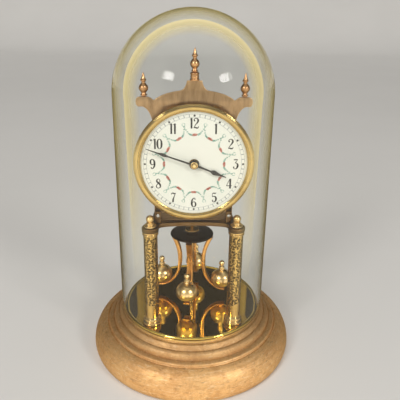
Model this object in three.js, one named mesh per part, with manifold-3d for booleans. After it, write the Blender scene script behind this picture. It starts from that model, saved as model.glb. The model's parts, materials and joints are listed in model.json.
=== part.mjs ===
// Anniversary (torsion pendulum) clock under a glass dome.
// Millimetres, +Z up, the dial faces -Y. The origin is the centre of the base's underside.
import * as THREE from 'three';
import { mergeVertices } from 'three/addons/utils/BufferGeometryUtils.js';
import Module from 'manifold-3d';

const wasm = await Module();
wasm.setup();

// ---------------------------------------------------------------- driving dimensions
const GAP = 0.3; // play between pieces that touch

// facets around turned pieces
const FINE = 36;
const MEDIUM = 14;
const COARSE = 10;

const BASE_R = 100; // widest radius of the base
const LEDGE_R = 72; // outside of the ledge that carries the dome
const LEDGE_Z = 41.7;
const DECK_Z = 44; // top of the hollow base, under the polished plate
const PLATE_R = 67.3;
const PLATE_Z = 45.6; // mirror surface
const SHELL_T = 1.8;

const DOME_R = 70.5; // outside radius of the glass
const DOME_T = 1.6;
const DOME_Z = 42; // lower rim
const DOME_TOP = 326;

const COL_X = 38; // column axes
const COL_Y = -40;
const COL_R = 6.2;
const COL_TOP = 142; // underside of the platform less the play

const PLATFORM_Z = 142.3;
const PLATFORM_T = 3.7;

const DIAL_X = 0;
const DIAL_Z = 203;
const DIAL_R = 46.6; // sight radius is 44.7 inside the bezel lip
const DIAL_Y = -37; // back face of the dial
const DIAL_T = 0.9;
const BEZEL_R = 50.8;

const FRONT_Y = -29.5; // rear face of the front plate
const BACK_Y = -2; // front face of the back plate
const SHEET = 2; // thickness of both movement plates

const PEND_Y = 9; // torsion axis, behind the movement
const PEND_TURN = -10; // resting turn of the pendulum about its axis, degrees
const BALL_ORBIT = 31;
const BALL_Z = 67.1;
const BALL_R = 10.6;
const BALL_HALF_H = 9.6;
const ARM_W = 6;
const ARM_T = 3.8; // tapers to the tip, under the ball
const ARM_TIP_T = 1.8;
const TOP_PLATE_Z = 114.8;
const TOP_PLATE_R = 21;

const ARBOR_R = 0.8;
const CANNON_BORE_R = 1.1;
const CANNON_R = 1.6;
const HOUR_BORE_R = 1.9;
const HOUR_PIPE_R = 2.4;

// going train: teeth and modules
const BARREL_TEETH = 36;
const BARREL_MODULE = 1;
const WHEEL_TEETH = 32;
const PINION_TEETH = 8;
const CENTRE_MODULE = 0.8;
const THIRD_MODULE = 0.7;
const ESCAPE_TEETH = 15;
// motion work: 8/24 and 8/32 give twelve turns of the minute hand to one of the hour hand
const CANNON_MODULE = 0.625;
const MINUTE_TEETH = 24;
const HOUR_TEETH = 32;
const HOUR_MODULE = 0.5;

// arbor centres in the plane of the plates (x, z)
const CENTRE = [DIAL_X, DIAL_Z];
const BARREL = [DIAL_X, DIAL_Z - 22];
const THIRD = [11.54, 214.08];
const ESCAPE = [0, 222];
const ANCHOR = [0, 236];
const MINUTE = [-10, DIAL_Z];
const CLICK = [-14, 186];

// ---------------------------------------------------------------- materials
const metal = (color, roughness) => new THREE.MeshStandardMaterial({ color, roughness, metalness: 1 });
const agedBrass = () => metal(0xb08a5a, 0.5);
const brass = () => metal(0xc79a4b, 0.22);
const copperBrass = () => metal(0xb87742, 0.3);
const steel = () => metal(0x9aa0a6, 0.3);
const blackSteel = () => metal(0x111111, 0.35);
const enamel = () => new THREE.MeshStandardMaterial({ color: 0xf2f1ea, roughness: 0.2, metalness: 0 });
const glass = () => new THREE.MeshPhysicalMaterial({
  color: 0xffffff,
  roughness: 0.02,
  metalness: 0,
  transmission: 1,
  transparent: true,
  opacity: 0.25,
});

// ---------------------------------------------------------------- geometry helpers
const clock = new THREE.Group();
const UP = new THREE.Matrix4().makeRotationX(Math.PI / 2);

function addPart(name, geometry, material) {
  const mesh = new THREE.Mesh(geometry, material);
  mesh.name = name;
  clock.add(mesh);
  return mesh;
}

// Solid of revolution about Z; the profile is a list of (radius, z).
function turned(profile, segments) {
  const points = profile.map(([r, z]) => new THREE.Vector2(r, z));
  return new THREE.LatheGeometry(points, segments).applyMatrix4(UP);
}

// A turned ring closes its profile on itself.
function turnedRing(profile, segments) {
  return turned([...profile, profile[0]], segments);
}

// Solid of revolution about an axis parallel to Y; the profile is a list of (radius, y).
function turnedAlongY(profile, segments, [x, z]) {
  const points = profile.map(([r, y]) => new THREE.Vector2(r, y));
  return new THREE.LatheGeometry(points, segments).translate(x, 0, z);
}

function polygon(points, holes = []) {
  const shape = new THREE.Shape(points.map(([x, y]) => new THREE.Vector2(x, y)));
  for (const [x, y, r, sides = COARSE] of holes) {
    shape.holes.push(new THREE.Path(circlePoints(x, y, r, sides)));
  }
  return shape;
}

function circlePoints(x, y, r, sides) {
  const points = [];
  for (let i = 0; i < sides; i += 1) {
    const a = (2 * Math.PI * i) / sides;
    points.push(new THREE.Vector2(x + r * Math.cos(a), y + r * Math.sin(a)));
  }
  return points;
}

function circle(x, y, r, sides, holes = []) {
  return polygon(circlePoints(x, y, r, sides).map((p) => [p.x, p.y]), holes);
}

// Upright sheet: the shape is drawn in (x, z) and runs from yFront back to yBack.
function uprightSheet(shape, yFront, yBack) {
  const geometry = new THREE.ExtrudeGeometry(shape, { depth: yBack - yFront, bevelEnabled: false, steps: 1 });
  return geometry.applyMatrix4(UP).translate(0, yBack, 0);
}

// Level sheet: the shape is drawn in (x, y) and runs from z up to z + thickness.
function levelSheet(shape, z, thickness) {
  const geometry = new THREE.ExtrudeGeometry(shape, { depth: thickness, bevelEnabled: false, steps: 1 });
  return geometry.translate(0, 0, z);
}

function box(x0, x1, y0, y1, z0, z1) {
  const geometry = new THREE.BoxGeometry(x1 - x0, y1 - y0, z1 - z0);
  return geometry.translate((x0 + x1) / 2, (y0 + y1) / 2, (z0 + z1) / 2);
}

function rodAlongY(x, z, r, y0, y1, sides = COARSE) {
  return turnedAlongY([[0, y0], [r, y0], [r, y1], [0, y1]], sides, [x, z]);
}

function rodAlongZ(x, y, r, z0, z1, sides = COARSE) {
  return turned([[0, z0], [r, z0], [r, z1], [0, z1]], sides).translate(x, y, 0);
}

// ---------------------------------------------------------------- cutting and joining
function toSolid(geometry) {
  const bare = geometry.clone();
  bare.deleteAttribute('normal');
  bare.deleteAttribute('uv');
  const merged = mergeVertices(bare, 1e-4);
  const mesh = new wasm.Mesh({
    numProp: 3,
    vertProperties: new Float32Array(merged.attributes.position.array),
    triVerts: new Uint32Array(merged.index.array),
  });
  mesh.merge();
  return new wasm.Manifold(mesh);
}

function toGeometry(solid) {
  const mesh = solid.getMesh();
  const geometry = new THREE.BufferGeometry();
  geometry.setAttribute('position', new THREE.BufferAttribute(new Float32Array(mesh.vertProperties), 3));
  geometry.setIndex(new THREE.BufferAttribute(new Uint32Array(mesh.triVerts), 1));
  geometry.computeVertexNormals();
  return geometry;
}

function join(...geometries) {
  return toGeometry(geometries.map(toSolid).reduce((whole, piece) => whole.add(piece)));
}

function cut(geometry, ...tools) {
  return toGeometry(tools.map(toSolid).reduce((whole, tool) => whole.subtract(tool), toSolid(geometry)));
}

// ---------------------------------------------------------------- gears
// Toothed outline in (x, z). Slim, short teeth leave generous backlash.
function gearShape(teeth, module, [cx, cz], phase, holeRadius) {
  const pitchR = (teeth * module) / 2;
  const tip = pitchR + 0.7 * module;
  const root = pitchR - 0.95 * module;
  const step = (2 * Math.PI) / teeth;
  const points = [];
  for (let i = 0; i < teeth; i += 1) {
    const a = phase + i * step;
    for (const [r, side] of [[root, -0.25], [tip, -0.1], [tip, 0.1], [root, 0.25]]) {
      points.push([cx + r * Math.cos(a + side * step), cz + r * Math.sin(a + side * step)]);
    }
  }
  return polygon(points, holeRadius ? [[cx, cz, holeRadius, COARSE]] : []);
}

// Phase of a driven gear so that its gap faces the driver's tooth on the line of centres.
function meshedPhase(driverPhase, driverTeeth, from, to, teeth) {
  const line = Math.atan2(to[1] - from[1], to[0] - from[0]);
  const turn = ((line - driverPhase) * driverTeeth) / (2 * Math.PI);
  return line + Math.PI + ((turn - 0.5) * 2 * Math.PI) / teeth;
}

const centrePhase = 0;
const barrelPhase = meshedPhase(centrePhase, PINION_TEETH, CENTRE, BARREL, BARREL_TEETH);
const thirdPhase = meshedPhase(centrePhase, WHEEL_TEETH, CENTRE, THIRD, PINION_TEETH);
const escapePhase = meshedPhase(thirdPhase, WHEEL_TEETH, THIRD, ESCAPE, PINION_TEETH);
const minutePhase = meshedPhase(centrePhase, PINION_TEETH, CENTRE, MINUTE, MINUTE_TEETH);
const hourPhase = meshedPhase(minutePhase, PINION_TEETH, MINUTE, CENTRE, HOUR_TEETH);

// ---------------------------------------------------------------- base
const baseOutside = [
  [94, 0],
  [98.4, 2],
  [BASE_R, 7.6],
  [99, 14],
  [95.6, 21],
  [90.4, 26.6],
  [86.4, 28.8],
  [85.2, 28.5],
  [83.8, 30.8],
  [80, 31.9],
  [78.6, 34.6],
  [76.4, 37.2],
  [73.6, 38],
  [LEDGE_R, 40.6],
  [LEDGE_R - 0.7, LEDGE_Z],
  [67.9, LEDGE_Z],
  [67.5, DECK_Z],
];
const baseInside = [
  [48, DECK_Z],
  [48, DECK_Z - SHELL_T],
  [66, DECK_Z - SHELL_T],
  [66, 39.4],
  [73, 36],
  [77.4, 29.8],
  [86, 26],
  [94, 19],
  [97.6, 11],
  [97.4, 5],
  [93, 1.8],
  [88, 1.8],
  [88, 0],
];
const STUD_HOLE_R = 2.6;
const studHoles = (z0, z1) => [-1, 1].map((side) => rodAlongZ(side * COL_X, COL_Y, STUD_HOLE_R, z0, z1));
const baseBlank = turnedRing([...baseOutside, ...baseInside], FINE);
addPart('base_shell', cut(baseBlank, ...studHoles(38, 50)), agedBrass());

const plateProfile = [
  [0, DECK_Z + GAP],
  [66.6, DECK_Z + GAP],
  [PLATE_R, 45.1],
  [67, 46],
  [66.3, 46.3],
  [65.6, 46],
  [65, PLATE_Z],
  [0, PLATE_Z],
];
addPart('base_plate', cut(turned(plateProfile, FINE), ...studHoles(40, 50)), brass());

const cupProfile = [
  [0, PLATE_Z + GAP],
  [8, PLATE_Z + GAP],
  [8, 46.9],
  [5.4, 47.3],
  [5, 50.2],
  [4.2, 50.2],
  [4.2, 47.2],
  [0, 47.2],
];
addPart('pendulum_cup', turned(cupProfile, MEDIUM).translate(0, PEND_Y, 0), brass());

// ---------------------------------------------------------------- columns and platform
const columnProfile = [
  [0, 36.5],
  [2.2, 36.5],
  [2.2, PLATE_Z + GAP],
  [8.3, PLATE_Z + GAP],
  [8.5, 47.4],
  [7.4, 48.4],
  [8.1, 49.6],
  [7.1, 50.8],
  [COL_R, 51.6],
  [COL_R, 134.6],
  [7, 135.6],
  [6.3, 136.8],
  [7.2, 138.4],
  [6.4, 139.6],
  [7.2, COL_TOP],
  [2.2, COL_TOP],
  [2.2, 149],
  [0, 149],
];
const columnFinialProfile = [
  [0, 149.4],
  [2.5, 149.4],
  [2.5, PLATFORM_Z + PLATFORM_T + GAP],
  [5.4, PLATFORM_Z + PLATFORM_T + GAP],
  [5.5, 147.4],
  [3.2, 148.4],
  [3.5, 149.6],
  [2.7, 150.6],
  [3.5, 152.4],
  [3.5, 154.2],
  [2.4, 156],
  [0, 156.8],
];
const NUT_T = 4;
for (const [side, label] of [[-1, 'left'], [1, 'right']]) {
  const x = side * COL_X;
  addPart(`column_${label}`, turned(columnProfile, MEDIUM).translate(x, COL_Y, 0), brass());
  addPart(`column_finial_${label}`, turned(columnFinialProfile, 12).translate(x, COL_Y, 0), brass());
  const nut = circle(x, COL_Y, 5, 6, [[x, COL_Y, 2.5, COARSE]]);
  addPart(`column_nut_${label}`, levelSheet(nut, DECK_Z - SHELL_T - GAP - NUT_T, NUT_T), steel());
}

// Plan of the platform: round ends about the columns, a slightly hollow front edge.
function platformOutline() {
  const half = [[0, -31], [12, -31.5], [22, -32.8], [29, -34.8]];
  for (let i = 0; i <= 10; i += 1) {
    const a = THREE.MathUtils.degToRad(158 + i * 21);
    half.push([COL_X + 7.4 * Math.cos(a), COL_Y + 7.4 * Math.sin(a)]);
  }
  half.push([43, -33], [40, -27], [37, -18], [36, 3], [9, 3], [6, 0]);
  const mirrored = half.slice(1).reverse().map(([x, y]) => [-x, y]);
  return [...half, ...mirrored];
}
const platformHoles = [[-COL_X, COL_Y, 2.5], [COL_X, COL_Y, 2.5]];
const platformPlan = polygon(platformOutline(), platformHoles);
addPart('platform', levelSheet(platformPlan, PLATFORM_Z, PLATFORM_T), agedBrass());

// ---------------------------------------------------------------- movement plates
const PLATE_BOTTOM = 148.4;
const crestHalf = [
  [0, PLATE_BOTTOM],
  [34.4, PLATE_BOTTOM],
  [34.4, 236],
  [35.2, 240.4],
  [36.9, 244.6],
  [38.9, 247.6],
  [41, 249.3],
  [43.2, 250],
  [45.2, 249.8],
  [46.8, 250.6],
  [47.7, 252.8],
  [47.6, 255.4],
  [46.4, 257.3],
  [44.2, 258],
  [37.8, 258],
  [35.4, 256.8],
  [33, 255.1],
  [30, 257.3],
  [24.4, 260],
  [17.6, 261.9],
  [11.6, 263],
  [9.2, 264.2],
  [7.6, 266.4],
  [6.6, 268.8],
  [6.2, 271],
];
const crestOutline = [...crestHalf, ...crestHalf.slice(1).reverse().map(([x, z]) => [-x, z])];
const pillarCentres = [[-27, 158], [27, 158], [-27, 238], [27, 238]];
const pivotHoles = [THIRD, ESCAPE, ANCHOR].map(([x, z]) => [x, z, 1.1, 8]);
const plateHoles = [
  ...pillarCentres.map(([x, z]) => [x, z, 1.6, 8]),
  ...pivotHoles,
  [...CENTRE, 1.7, 8],
  [...BARREL, 2.5, 8],
];
const frontHoles = [...plateHoles, [...MINUTE, 1.1, 8]];
const frontShape = polygon(crestOutline, frontHoles);
addPart('front_plate', uprightSheet(frontShape, FRONT_Y - SHEET, FRONT_Y), copperBrass());

const backOutline = [
  [-34.4, PLATE_BOTTOM],
  [34.4, PLATE_BOTTOM],
  [34.4, 236],
  [29, 246],
  [-29, 246],
  [-34.4, 236],
];
const backHoles = [...plateHoles, [...CLICK, 1.1, 8]];
addPart('back_plate', uprightSheet(polygon(backOutline, backHoles), BACK_Y, BACK_Y + SHEET), brass());

pillarCentres.forEach(([x, z], i) => {
  const profile = [
    [0, FRONT_Y - SHEET],
    [1.3, FRONT_Y - SHEET],
    [1.3, FRONT_Y + GAP],
    [3, FRONT_Y + GAP],
    [2.2, -24],
    [2.2, -8],
    [3, BACK_Y - GAP],
    [1.3, BACK_Y - GAP],
    [1.3, BACK_Y + SHEET],
    [0, BACK_Y + SHEET],
  ];
  addPart(`pillar_${i + 1}`, turnedAlongY(profile, 8, [x, z]), brass());
});

// Channel-shaped feet that hold both plates above the platform.
for (const [side, label] of [[-1, 'left'], [1, 'right']]) {
  const footZ = PLATFORM_Z + PLATFORM_T + GAP;
  const x0 = Math.min(side * 29, side * 34);
  const x1 = Math.max(side * 29, side * 34);
  const frontLeg = box(x0, x1, -33.4, FRONT_Y - SHEET - GAP, footZ, 157.8);
  const rearLeg = box(x0, x1, BACK_Y + SHEET + GAP, 1.9, footZ, 156);
  const foot = box(x0, x1, -33.4, 1.9, footZ, footZ + 1.5);
  addPart(`bracket_${label}`, join(frontLeg, rearLeg, foot), brass());
}

// ---------------------------------------------------------------- cresting finials
// Turned knob: a ring, a ball with a narrow waist above and below it, a second ring and a spike.
const FINIAL_H = 19;
const FINIAL_R = 3.8;
function finialProfile(bottom) {
  return [
    [0.5, 0],
    [0.72, 0.06],
    [0.5, 0.14],
    [0.82, 0.25],
    [1, 0.35],
    [0.82, 0.45],
    [0.4, 0.56],
    [0.66, 0.68],
    [0.36, 0.78],
    [0.2, 0.92],
    [0, 1],
  ].map(([k, h]) => [k * FINIAL_R, bottom + h * FINIAL_H]);
}
const FINIAL_Y = FRONT_Y - SHEET / 2;
const SIDE_FINIAL_Z = 258.3;
const PEDESTAL_Z = 271.3; // the middle finial stands on a grooved pedestal
const pedestal = [
  [0, PEDESTAL_Z],
  [3.9, PEDESTAL_Z],
  [3.9, PEDESTAL_Z + 1],
  [3.2, PEDESTAL_Z + 1.8],
  [3.6, PEDESTAL_Z + 3.2],
  [3.2, PEDESTAL_Z + 4.4],
  [3.8, PEDESTAL_Z + 5.4],
  [3.6, PEDESTAL_Z + 6.2],
];
const centreFinial = [...pedestal, ...finialProfile(PEDESTAL_Z + 6.2)];
addPart('finial_centre', turned(centreFinial, COARSE).translate(0, FINIAL_Y, 0), copperBrass());
const sideFinial = [[0, SIDE_FINIAL_Z], ...finialProfile(SIDE_FINIAL_Z)];
addPart('finial_left', turned(sideFinial, COARSE).translate(-41, FINIAL_Y, 0), copperBrass());
addPart('finial_right', turned(sideFinial, COARSE).translate(41, FINIAL_Y, 0), copperBrass());

// ---------------------------------------------------------------- dial and bezel
const dialShape = circle(...CENTRE, DIAL_R, FINE, [[...CENTRE, 4.2, COARSE]]);
addPart('dial', uprightSheet(dialShape, DIAL_Y - DIAL_T, DIAL_Y), enamel());
const bezelProfile = [
  [47, -36.4],
  [47, -38.2],
  [44.7, -38.4],
  [44.9, -39.6],
  [46.2, -40.5],
  [48.4, -40.5],
  [50.2, -39.6],
  [BEZEL_R, -38.4],
  [50.2, -37.6],
  [48.4, -37.2],
  [48.2, -31.8],
  [47.2, -31.8],
];
addPart('bezel', turnedAlongY([...bezelProfile, bezelProfile[0]], FINE, CENTRE), brass());

// ---------------------------------------------------------------- hands
// A tapering hand with a lozenge on it; it points along +Z before it is turned to the hour.
function handShape(length, lozengeAt, lozengeLength, lozengeHalf, collarR, holeR) {
  const side = [
    [0.9, collarR * 0.94],
    [0.7, lozengeAt - lozengeLength],
    [lozengeHalf, lozengeAt],
    [0.6, lozengeAt + lozengeLength],
    [0.25, length],
  ];
  const collar = [];
  for (let i = 1; i < 12; i += 1) {
    const a = Math.PI / 2 - THREE.MathUtils.degToRad(18 + (i - 1) * 32.4);
    collar.push([collarR * Math.cos(a), collarR * Math.sin(a)]);
  }
  const outline = [...side.slice().reverse(), ...collar, ...side.map(([x, z]) => [-x, z])];
  return polygon(outline, [[0, 0, holeR, COARSE]]);
}
const HOUR_TURN = 112.5; // clockwise from twelve, degrees
const MINUTE_TURN = 289.4;
function placeHand(name, shape, yFront, thickness, turn) {
  const geometry = uprightSheet(shape, yFront, yFront + thickness);
  geometry.rotateY(THREE.MathUtils.degToRad(turn)).translate(CENTRE[0], 0, CENTRE[1]);
  addPart(name, geometry, blackSteel());
}
placeHand('hour_hand', handShape(29.5, 18.4, 4.2, 2.1, 4, HOUR_PIPE_R + GAP), -40.4, 0.7, HOUR_TURN);
placeHand('minute_hand', handShape(42, 27.2, 3.4, 1.3, 3.3, ARBOR_R + GAP), -42, 0.7, MINUTE_TURN);
const handNut = [
  [0, -44.4],
  [1.5, -44.1],
  [1.9, -43.4],
  [1.9, -42.3],
  [ARBOR_R + GAP, -42.3],
  [ARBOR_R + GAP, -43.3],
  [0, -43.3],
];
addPart('hand_nut', turnedAlongY(handNut, COARSE, CENTRE), brass());

// ---------------------------------------------------------------- motion work, behind the dial
function gear(teeth, module, centre, phase, hole, yFront, yBack) {
  return uprightSheet(gearShape(teeth, module, centre, phase, hole), yFront, yBack);
}
// Toothed disc on a pipe, bored through for the arbor inside it.
function gearOnPipe(disc, centre, outer, bore, yFront, yBack) {
  const blank = join(disc, rodAlongY(...centre, outer, yFront, yBack));
  return cut(blank, rodAlongY(...centre, bore, yFront - 1, yBack + 1));
}
const cannonTeeth = gear(PINION_TEETH, CANNON_MODULE, CENTRE, centrePhase, 0, -33.6, -32);
addPart('cannon_pinion', gearOnPipe(cannonTeeth, CENTRE, CANNON_R, CANNON_BORE_R, -41, -32), steel());
const hourDisc = gear(HOUR_TEETH, HOUR_MODULE, CENTRE, hourPhase, 0, -35.4, -34.4);
addPart('hour_wheel', gearOnPipe(hourDisc, CENTRE, HOUR_PIPE_R, HOUR_BORE_R, -40.4, -34.4), brass());
const minuteDisc = gear(MINUTE_TEETH, CANNON_MODULE, MINUTE, minutePhase, 0, -33.4, -32.2);
const minutePinion = gear(PINION_TEETH, HOUR_MODULE, MINUTE, minutePhase, 0, -35.6, -33);
addPart('minute_wheel', join(minuteDisc, minutePinion, rodAlongY(...MINUTE, ARBOR_R, -36.2, -29.8)), brass());

// ---------------------------------------------------------------- going train, between the plates
// An arbor runs from plate to plate and carries a pinion and a collet that stops its wheel.
function arbor(centre, y0, y1, teeth, phase, [pinionFront, pinionBack], [colletFront, colletBack]) {
  const shaft = rodAlongY(...centre, ARBOR_R, y0, y1);
  const pinion = gear(PINION_TEETH, teeth, centre, phase, 0, pinionFront, pinionBack);
  const collet = rodAlongY(...centre, 2.2, colletFront, colletBack);
  return join(shaft, pinion, collet);
}
const WHEEL_BORE = ARBOR_R + GAP;
const centreArbor = arbor(CENTRE, -43, -0.2, BARREL_MODULE, centrePhase, [-25.8, -22.6], [-26.9, -25.7]);
addPart('minute_arbor', centreArbor, steel());
const centreDisc = gear(WHEEL_TEETH, CENTRE_MODULE, CENTRE, centrePhase, WHEEL_BORE, -28.5, -27.2);
addPart('centre_wheel', centreDisc, brass());
const thirdArbor = arbor(THIRD, -31.3, -0.2, CENTRE_MODULE, thirdPhase, [-28.9, -26.8], [-21.4, -20.3]);
addPart('third_arbor', thirdArbor, steel());
addPart('third_wheel', gear(WHEEL_TEETH, THIRD_MODULE, THIRD, thirdPhase, WHEEL_BORE, -20, -18.8), brass());
const escapeArbor = arbor(ESCAPE, -31.3, -0.2, THIRD_MODULE, escapePhase, [-20.4, -18.4], [-13.4, -12.3]);
addPart('escape_arbor', escapeArbor, steel());

// Saw-toothed disc: every tooth leans one way.
function sawDisc(teeth, tip, root, [cx, cz], hole) {
  const points = [];
  for (let i = 0; i < teeth; i += 1) {
    const a = (2 * Math.PI * i) / teeth;
    const b = (2 * Math.PI * (i + 0.16)) / teeth;
    points.push([cx + tip * Math.cos(a), cz + tip * Math.sin(a)]);
    points.push([cx + root * Math.cos(b), cz + root * Math.sin(b)]);
  }
  return polygon(points, [[cx, cz, hole, COARSE]]);
}
const escapeDisc = sawDisc(ESCAPE_TEETH, 8.5, 6.4, ESCAPE, WHEEL_BORE);
addPart('escape_wheel', uprightSheet(escapeDisc, -12, -10.8), brass());

// Anchor: two pallet arms on an arbor, with a crank pin behind the back plate for the fork.
const anchorHalf = [
  [0, 238.4],
  [3.2, 237.4],
  [7.4, 233.4],
  [8.6, 229.6],
  [6.7, 229.2],
  [5.6, 232],
  [2.4, 233.8],
];
const anchorMirrored = anchorHalf.slice(1).reverse().map(([x, z]) => [-x, z]);
const anchorOutline = [...anchorHalf, [0, 233.4], ...anchorMirrored];
const PIN_Y = 3.4;
const anchorArms = uprightSheet(polygon(anchorOutline.reverse()), -12.2, -10.6);
const crank = rodAlongY(...ANCHOR, 1.4, 2.2, 4.6);
const pin = rodAlongZ(ANCHOR[0], PIN_Y, 0.45, ANCHOR[1], 249.5, 8);
addPart('anchor', join(anchorArms, rodAlongY(...ANCHOR, ARBOR_R, -31.3, 4), crank, pin), steel());

// Mainspring barrel: a toothed cup with the coiled spring in it, open at the back.
const DRUM_R = 16.2;
const DRUM_BORE_R = 14.8;
const drumProfile = [[DRUM_R, -24], [DRUM_R, -8], [DRUM_BORE_R, -8], [DRUM_BORE_R, -24], [DRUM_R, -24]];
const drum = turnedAlongY(drumProfile, 24, BARREL);
const barrelDisc = gear(BARREL_TEETH, BARREL_MODULE, BARREL, barrelPhase, 3.4, -25.4, -23.4);
addPart('barrel', join(barrelDisc, drum), brass());
function spiral(turns, r0, r1, thickness, steps) {
  const inner = [];
  const outer = [];
  for (let i = 0; i <= steps; i += 1) {
    const a = (2 * Math.PI * turns * i) / steps;
    const r = r0 + ((r1 - r0) * i) / steps;
    inner.push([r * Math.cos(a), r * Math.sin(a)]);
    outer.push([(r + thickness) * Math.cos(a), (r + thickness) * Math.sin(a)]);
  }
  return polygon([...outer, ...inner.reverse()]);
}
const coil = uprightSheet(spiral(4, 4.4, 13.4, 0.8, 48), -22.8, -9);
addPart('mainspring', coil.translate(BARREL[0], 0, BARREL[1]), steel());
const windingProfile = [
  [0, -31.3],
  [2.1, -31.3],
  [2.1, -27],
  [3.1, -27],
  [3.1, -6],
  [2.1, -6],
  [2.1, 3],
  [0, 3],
];
const keySquare = box(BARREL[0] - 1.45, BARREL[0] + 1.45, 2.5, 8, BARREL[1] - 1.45, BARREL[1] + 1.45);
addPart('winding_arbor', join(turnedAlongY(windingProfile, COARSE, BARREL), keySquare), steel());
addPart('ratchet_wheel', uprightSheet(sawDisc(18, 7.5, 6.3, BARREL, 2.4), 0.4, 1.8), steel());

// Click and its spring on the back of the back plate.
const clickOutline = [
  [-15.8, 185.2],
  [-15, 184.2],
  [-13, 184],
  [-7.5, 184.4],
  [-8.4, 186.2],
  [-12.6, 187.8],
  [-14.4, 187.9],
  [-15.7, 187],
];
const clickLever = uprightSheet(polygon(clickOutline), 0.4, 1.8);
addPart('click', join(clickLever, rodAlongY(...CLICK, ARBOR_R, -2.2, 2.2)), steel());
const clickSpringOutline = [[-22, 192], [-8.5, 192], [-8.5, 192.6], [-21.4, 192.6], [-21.4, 196], [-22, 196]];
addPart('click_spring', uprightSheet(polygon(clickSpringOutline), 0.3, 1.7), steel());

// ---------------------------------------------------------------- suspension
const bracketFoot = box(-9, 9, 0.3, 2.1, 240.4, 245.8);
const bracketLeg = box(-4, 4, 0.3, 2.1, 240.4, 261);
const bracketArm = box(-4, 4, 0.3, 12, 258.6, 261);
addPart('suspension_bracket', join(bracketFoot, bracketLeg, bracketArm), brass());
addPart('suspension_block_top', box(-2.5, 2.5, 7.4, 10.6, 252.8, 258.3), brass());
addPart('suspension_spring', box(-0.6, 0.6, PEND_Y - 0.1, PEND_Y + 0.1, 133, 252.5), steel());
addPart('suspension_block_bottom', box(-2.5, 2.5, 7.4, 10.6, 127.6, 132.7), brass());

// Fork: clamps the ribbon and holds the anchor's pin between two tines.
const forkOutline = [
  [-1.7, 2.3],
  [-0.85, 2.3],
  [-0.85, 6.3],
  [0.85, 6.3],
  [0.85, 2.3],
  [1.7, 2.3],
  [2.6, 8],
  [2.6, 10],
  [1.4, 11.4],
  [-1.4, 11.4],
  [-2.6, 10],
  [-2.6, 8],
];
addPart('suspension_fork', levelSheet(polygon(forkOutline, [[0, PEND_Y, 1, 8]]), 246, 2), brass());

// ---------------------------------------------------------------- torsion pendulum
const rodProfile = [
  [0, 47.6],
  [1, 48.2],
  [1, 52],
  [2.4, 53],
  [2.6, 56],
  [1.9, 57.4],
  [1.9, 79],
  [3, 80.2],
  [3, 83.4],
  [1.9, 84.6],
  [1.9, 110],
  [3.4, 111.4],
  [3.4, TOP_PLATE_Z - GAP],
  [1.7, TOP_PLATE_Z - GAP],
  [1.7, 124],
  [2.6, 125],
  [2.6, 127.3],
  [0, 127.3],
];
addPart('pendulum_rod', turned(rodProfile, COARSE).translate(0, PEND_Y, 0), brass());
const topPlate = [
  [2, TOP_PLATE_Z],
  [TOP_PLATE_R, TOP_PLATE_Z],
  [TOP_PLATE_R + 0.4, TOP_PLATE_Z + 0.8],
  [TOP_PLATE_R - 0.2, TOP_PLATE_Z + 1.6],
  [8, TOP_PLATE_Z + 2],
  [6, TOP_PLATE_Z + 3.4],
  [2, TOP_PLATE_Z + 3.4],
];
addPart('pendulum_top_plate', turnedRing(topPlate, 24).translate(0, PEND_Y, 0), copperBrass());
const ratingDisc = [
  [2, TOP_PLATE_Z + 3.7],
  [6.6, TOP_PLATE_Z + 3.7],
  [7, TOP_PLATE_Z + 4.2],
  [7, TOP_PLATE_Z + 5.4],
  [6.6, TOP_PLATE_Z + 5.9],
  [2, TOP_PLATE_Z + 5.9],
];
addPart('rating_disc', turnedRing(ratingDisc, MEDIUM).translate(0, PEND_Y, 0), brass());

// Arms: curved bars, wide apart at the top, narrow at the waist and level under the balls.
const armCurve = new THREE.SplineCurve([
  [19.4, TOP_PLATE_Z - 1.3],
  [17.4, 109.5],
  [14.9, 103.5],
  [12.9, 96.5],
  [12, 89],
  [12, 82],
  [13.2, 74],
  [16, 67],
  [20, 61.4],
  [25.2, 57.2],
  [29.5, 55.3],
  [34.5, 55],
].map(([r, z]) => new THREE.Vector2(r, z)));
function barOutline(curve, steps) {
  const left = [];
  const right = [];
  for (let i = 0; i <= steps; i += 1) {
    const p = curve.getPoint(i / steps);
    const t = curve.getTangent(i / steps);
    const share = THREE.MathUtils.smoothstep(i / steps, 0.35, 0.85);
    const half = THREE.MathUtils.lerp(ARM_T, ARM_TIP_T, share) / 2;
    left.push([p.x - t.y * half, p.y + t.x * half]);
    right.push([p.x + t.y * half, p.y - t.x * half]);
  }
  return [...right, ...left.reverse()];
}
const ballProfile = [[0, 56.4], [2, 56.4], [2.2, 57.7]];
for (let i = 1; i <= 7; i += 1) {
  const a = THREE.MathUtils.degToRad(-84 + i * 20);
  ballProfile.push([BALL_R * Math.cos(a), BALL_Z + BALL_HALF_H * Math.sin(a)]);
}
ballProfile.push(
  [1.6, 77.2],
  [2.8, 78.4],
  [2.8, 80.2],
  [1.5, 81.6],
  [2.5, 83],
  [2.8, 84.4],
  [1.9, 86.4],
  [0, 87.2],
);
for (let i = 0; i < 4; i += 1) {
  const turn = PEND_TURN - 90 + i * 90;
  const angle = THREE.MathUtils.degToRad(turn);
  const arm = uprightSheet(polygon(barOutline(armCurve, 22)), -ARM_W / 2, ARM_W / 2);
  addPart(`pendulum_arm_${i + 1}`, arm.rotateZ(angle).translate(0, PEND_Y, 0), copperBrass());
  const x = BALL_ORBIT * Math.cos(angle);
  const y = PEND_Y + BALL_ORBIT * Math.sin(angle);
  addPart(`pendulum_ball_${i + 1}`, turned(ballProfile, MEDIUM).translate(x, y, 0), brass());
}

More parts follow.
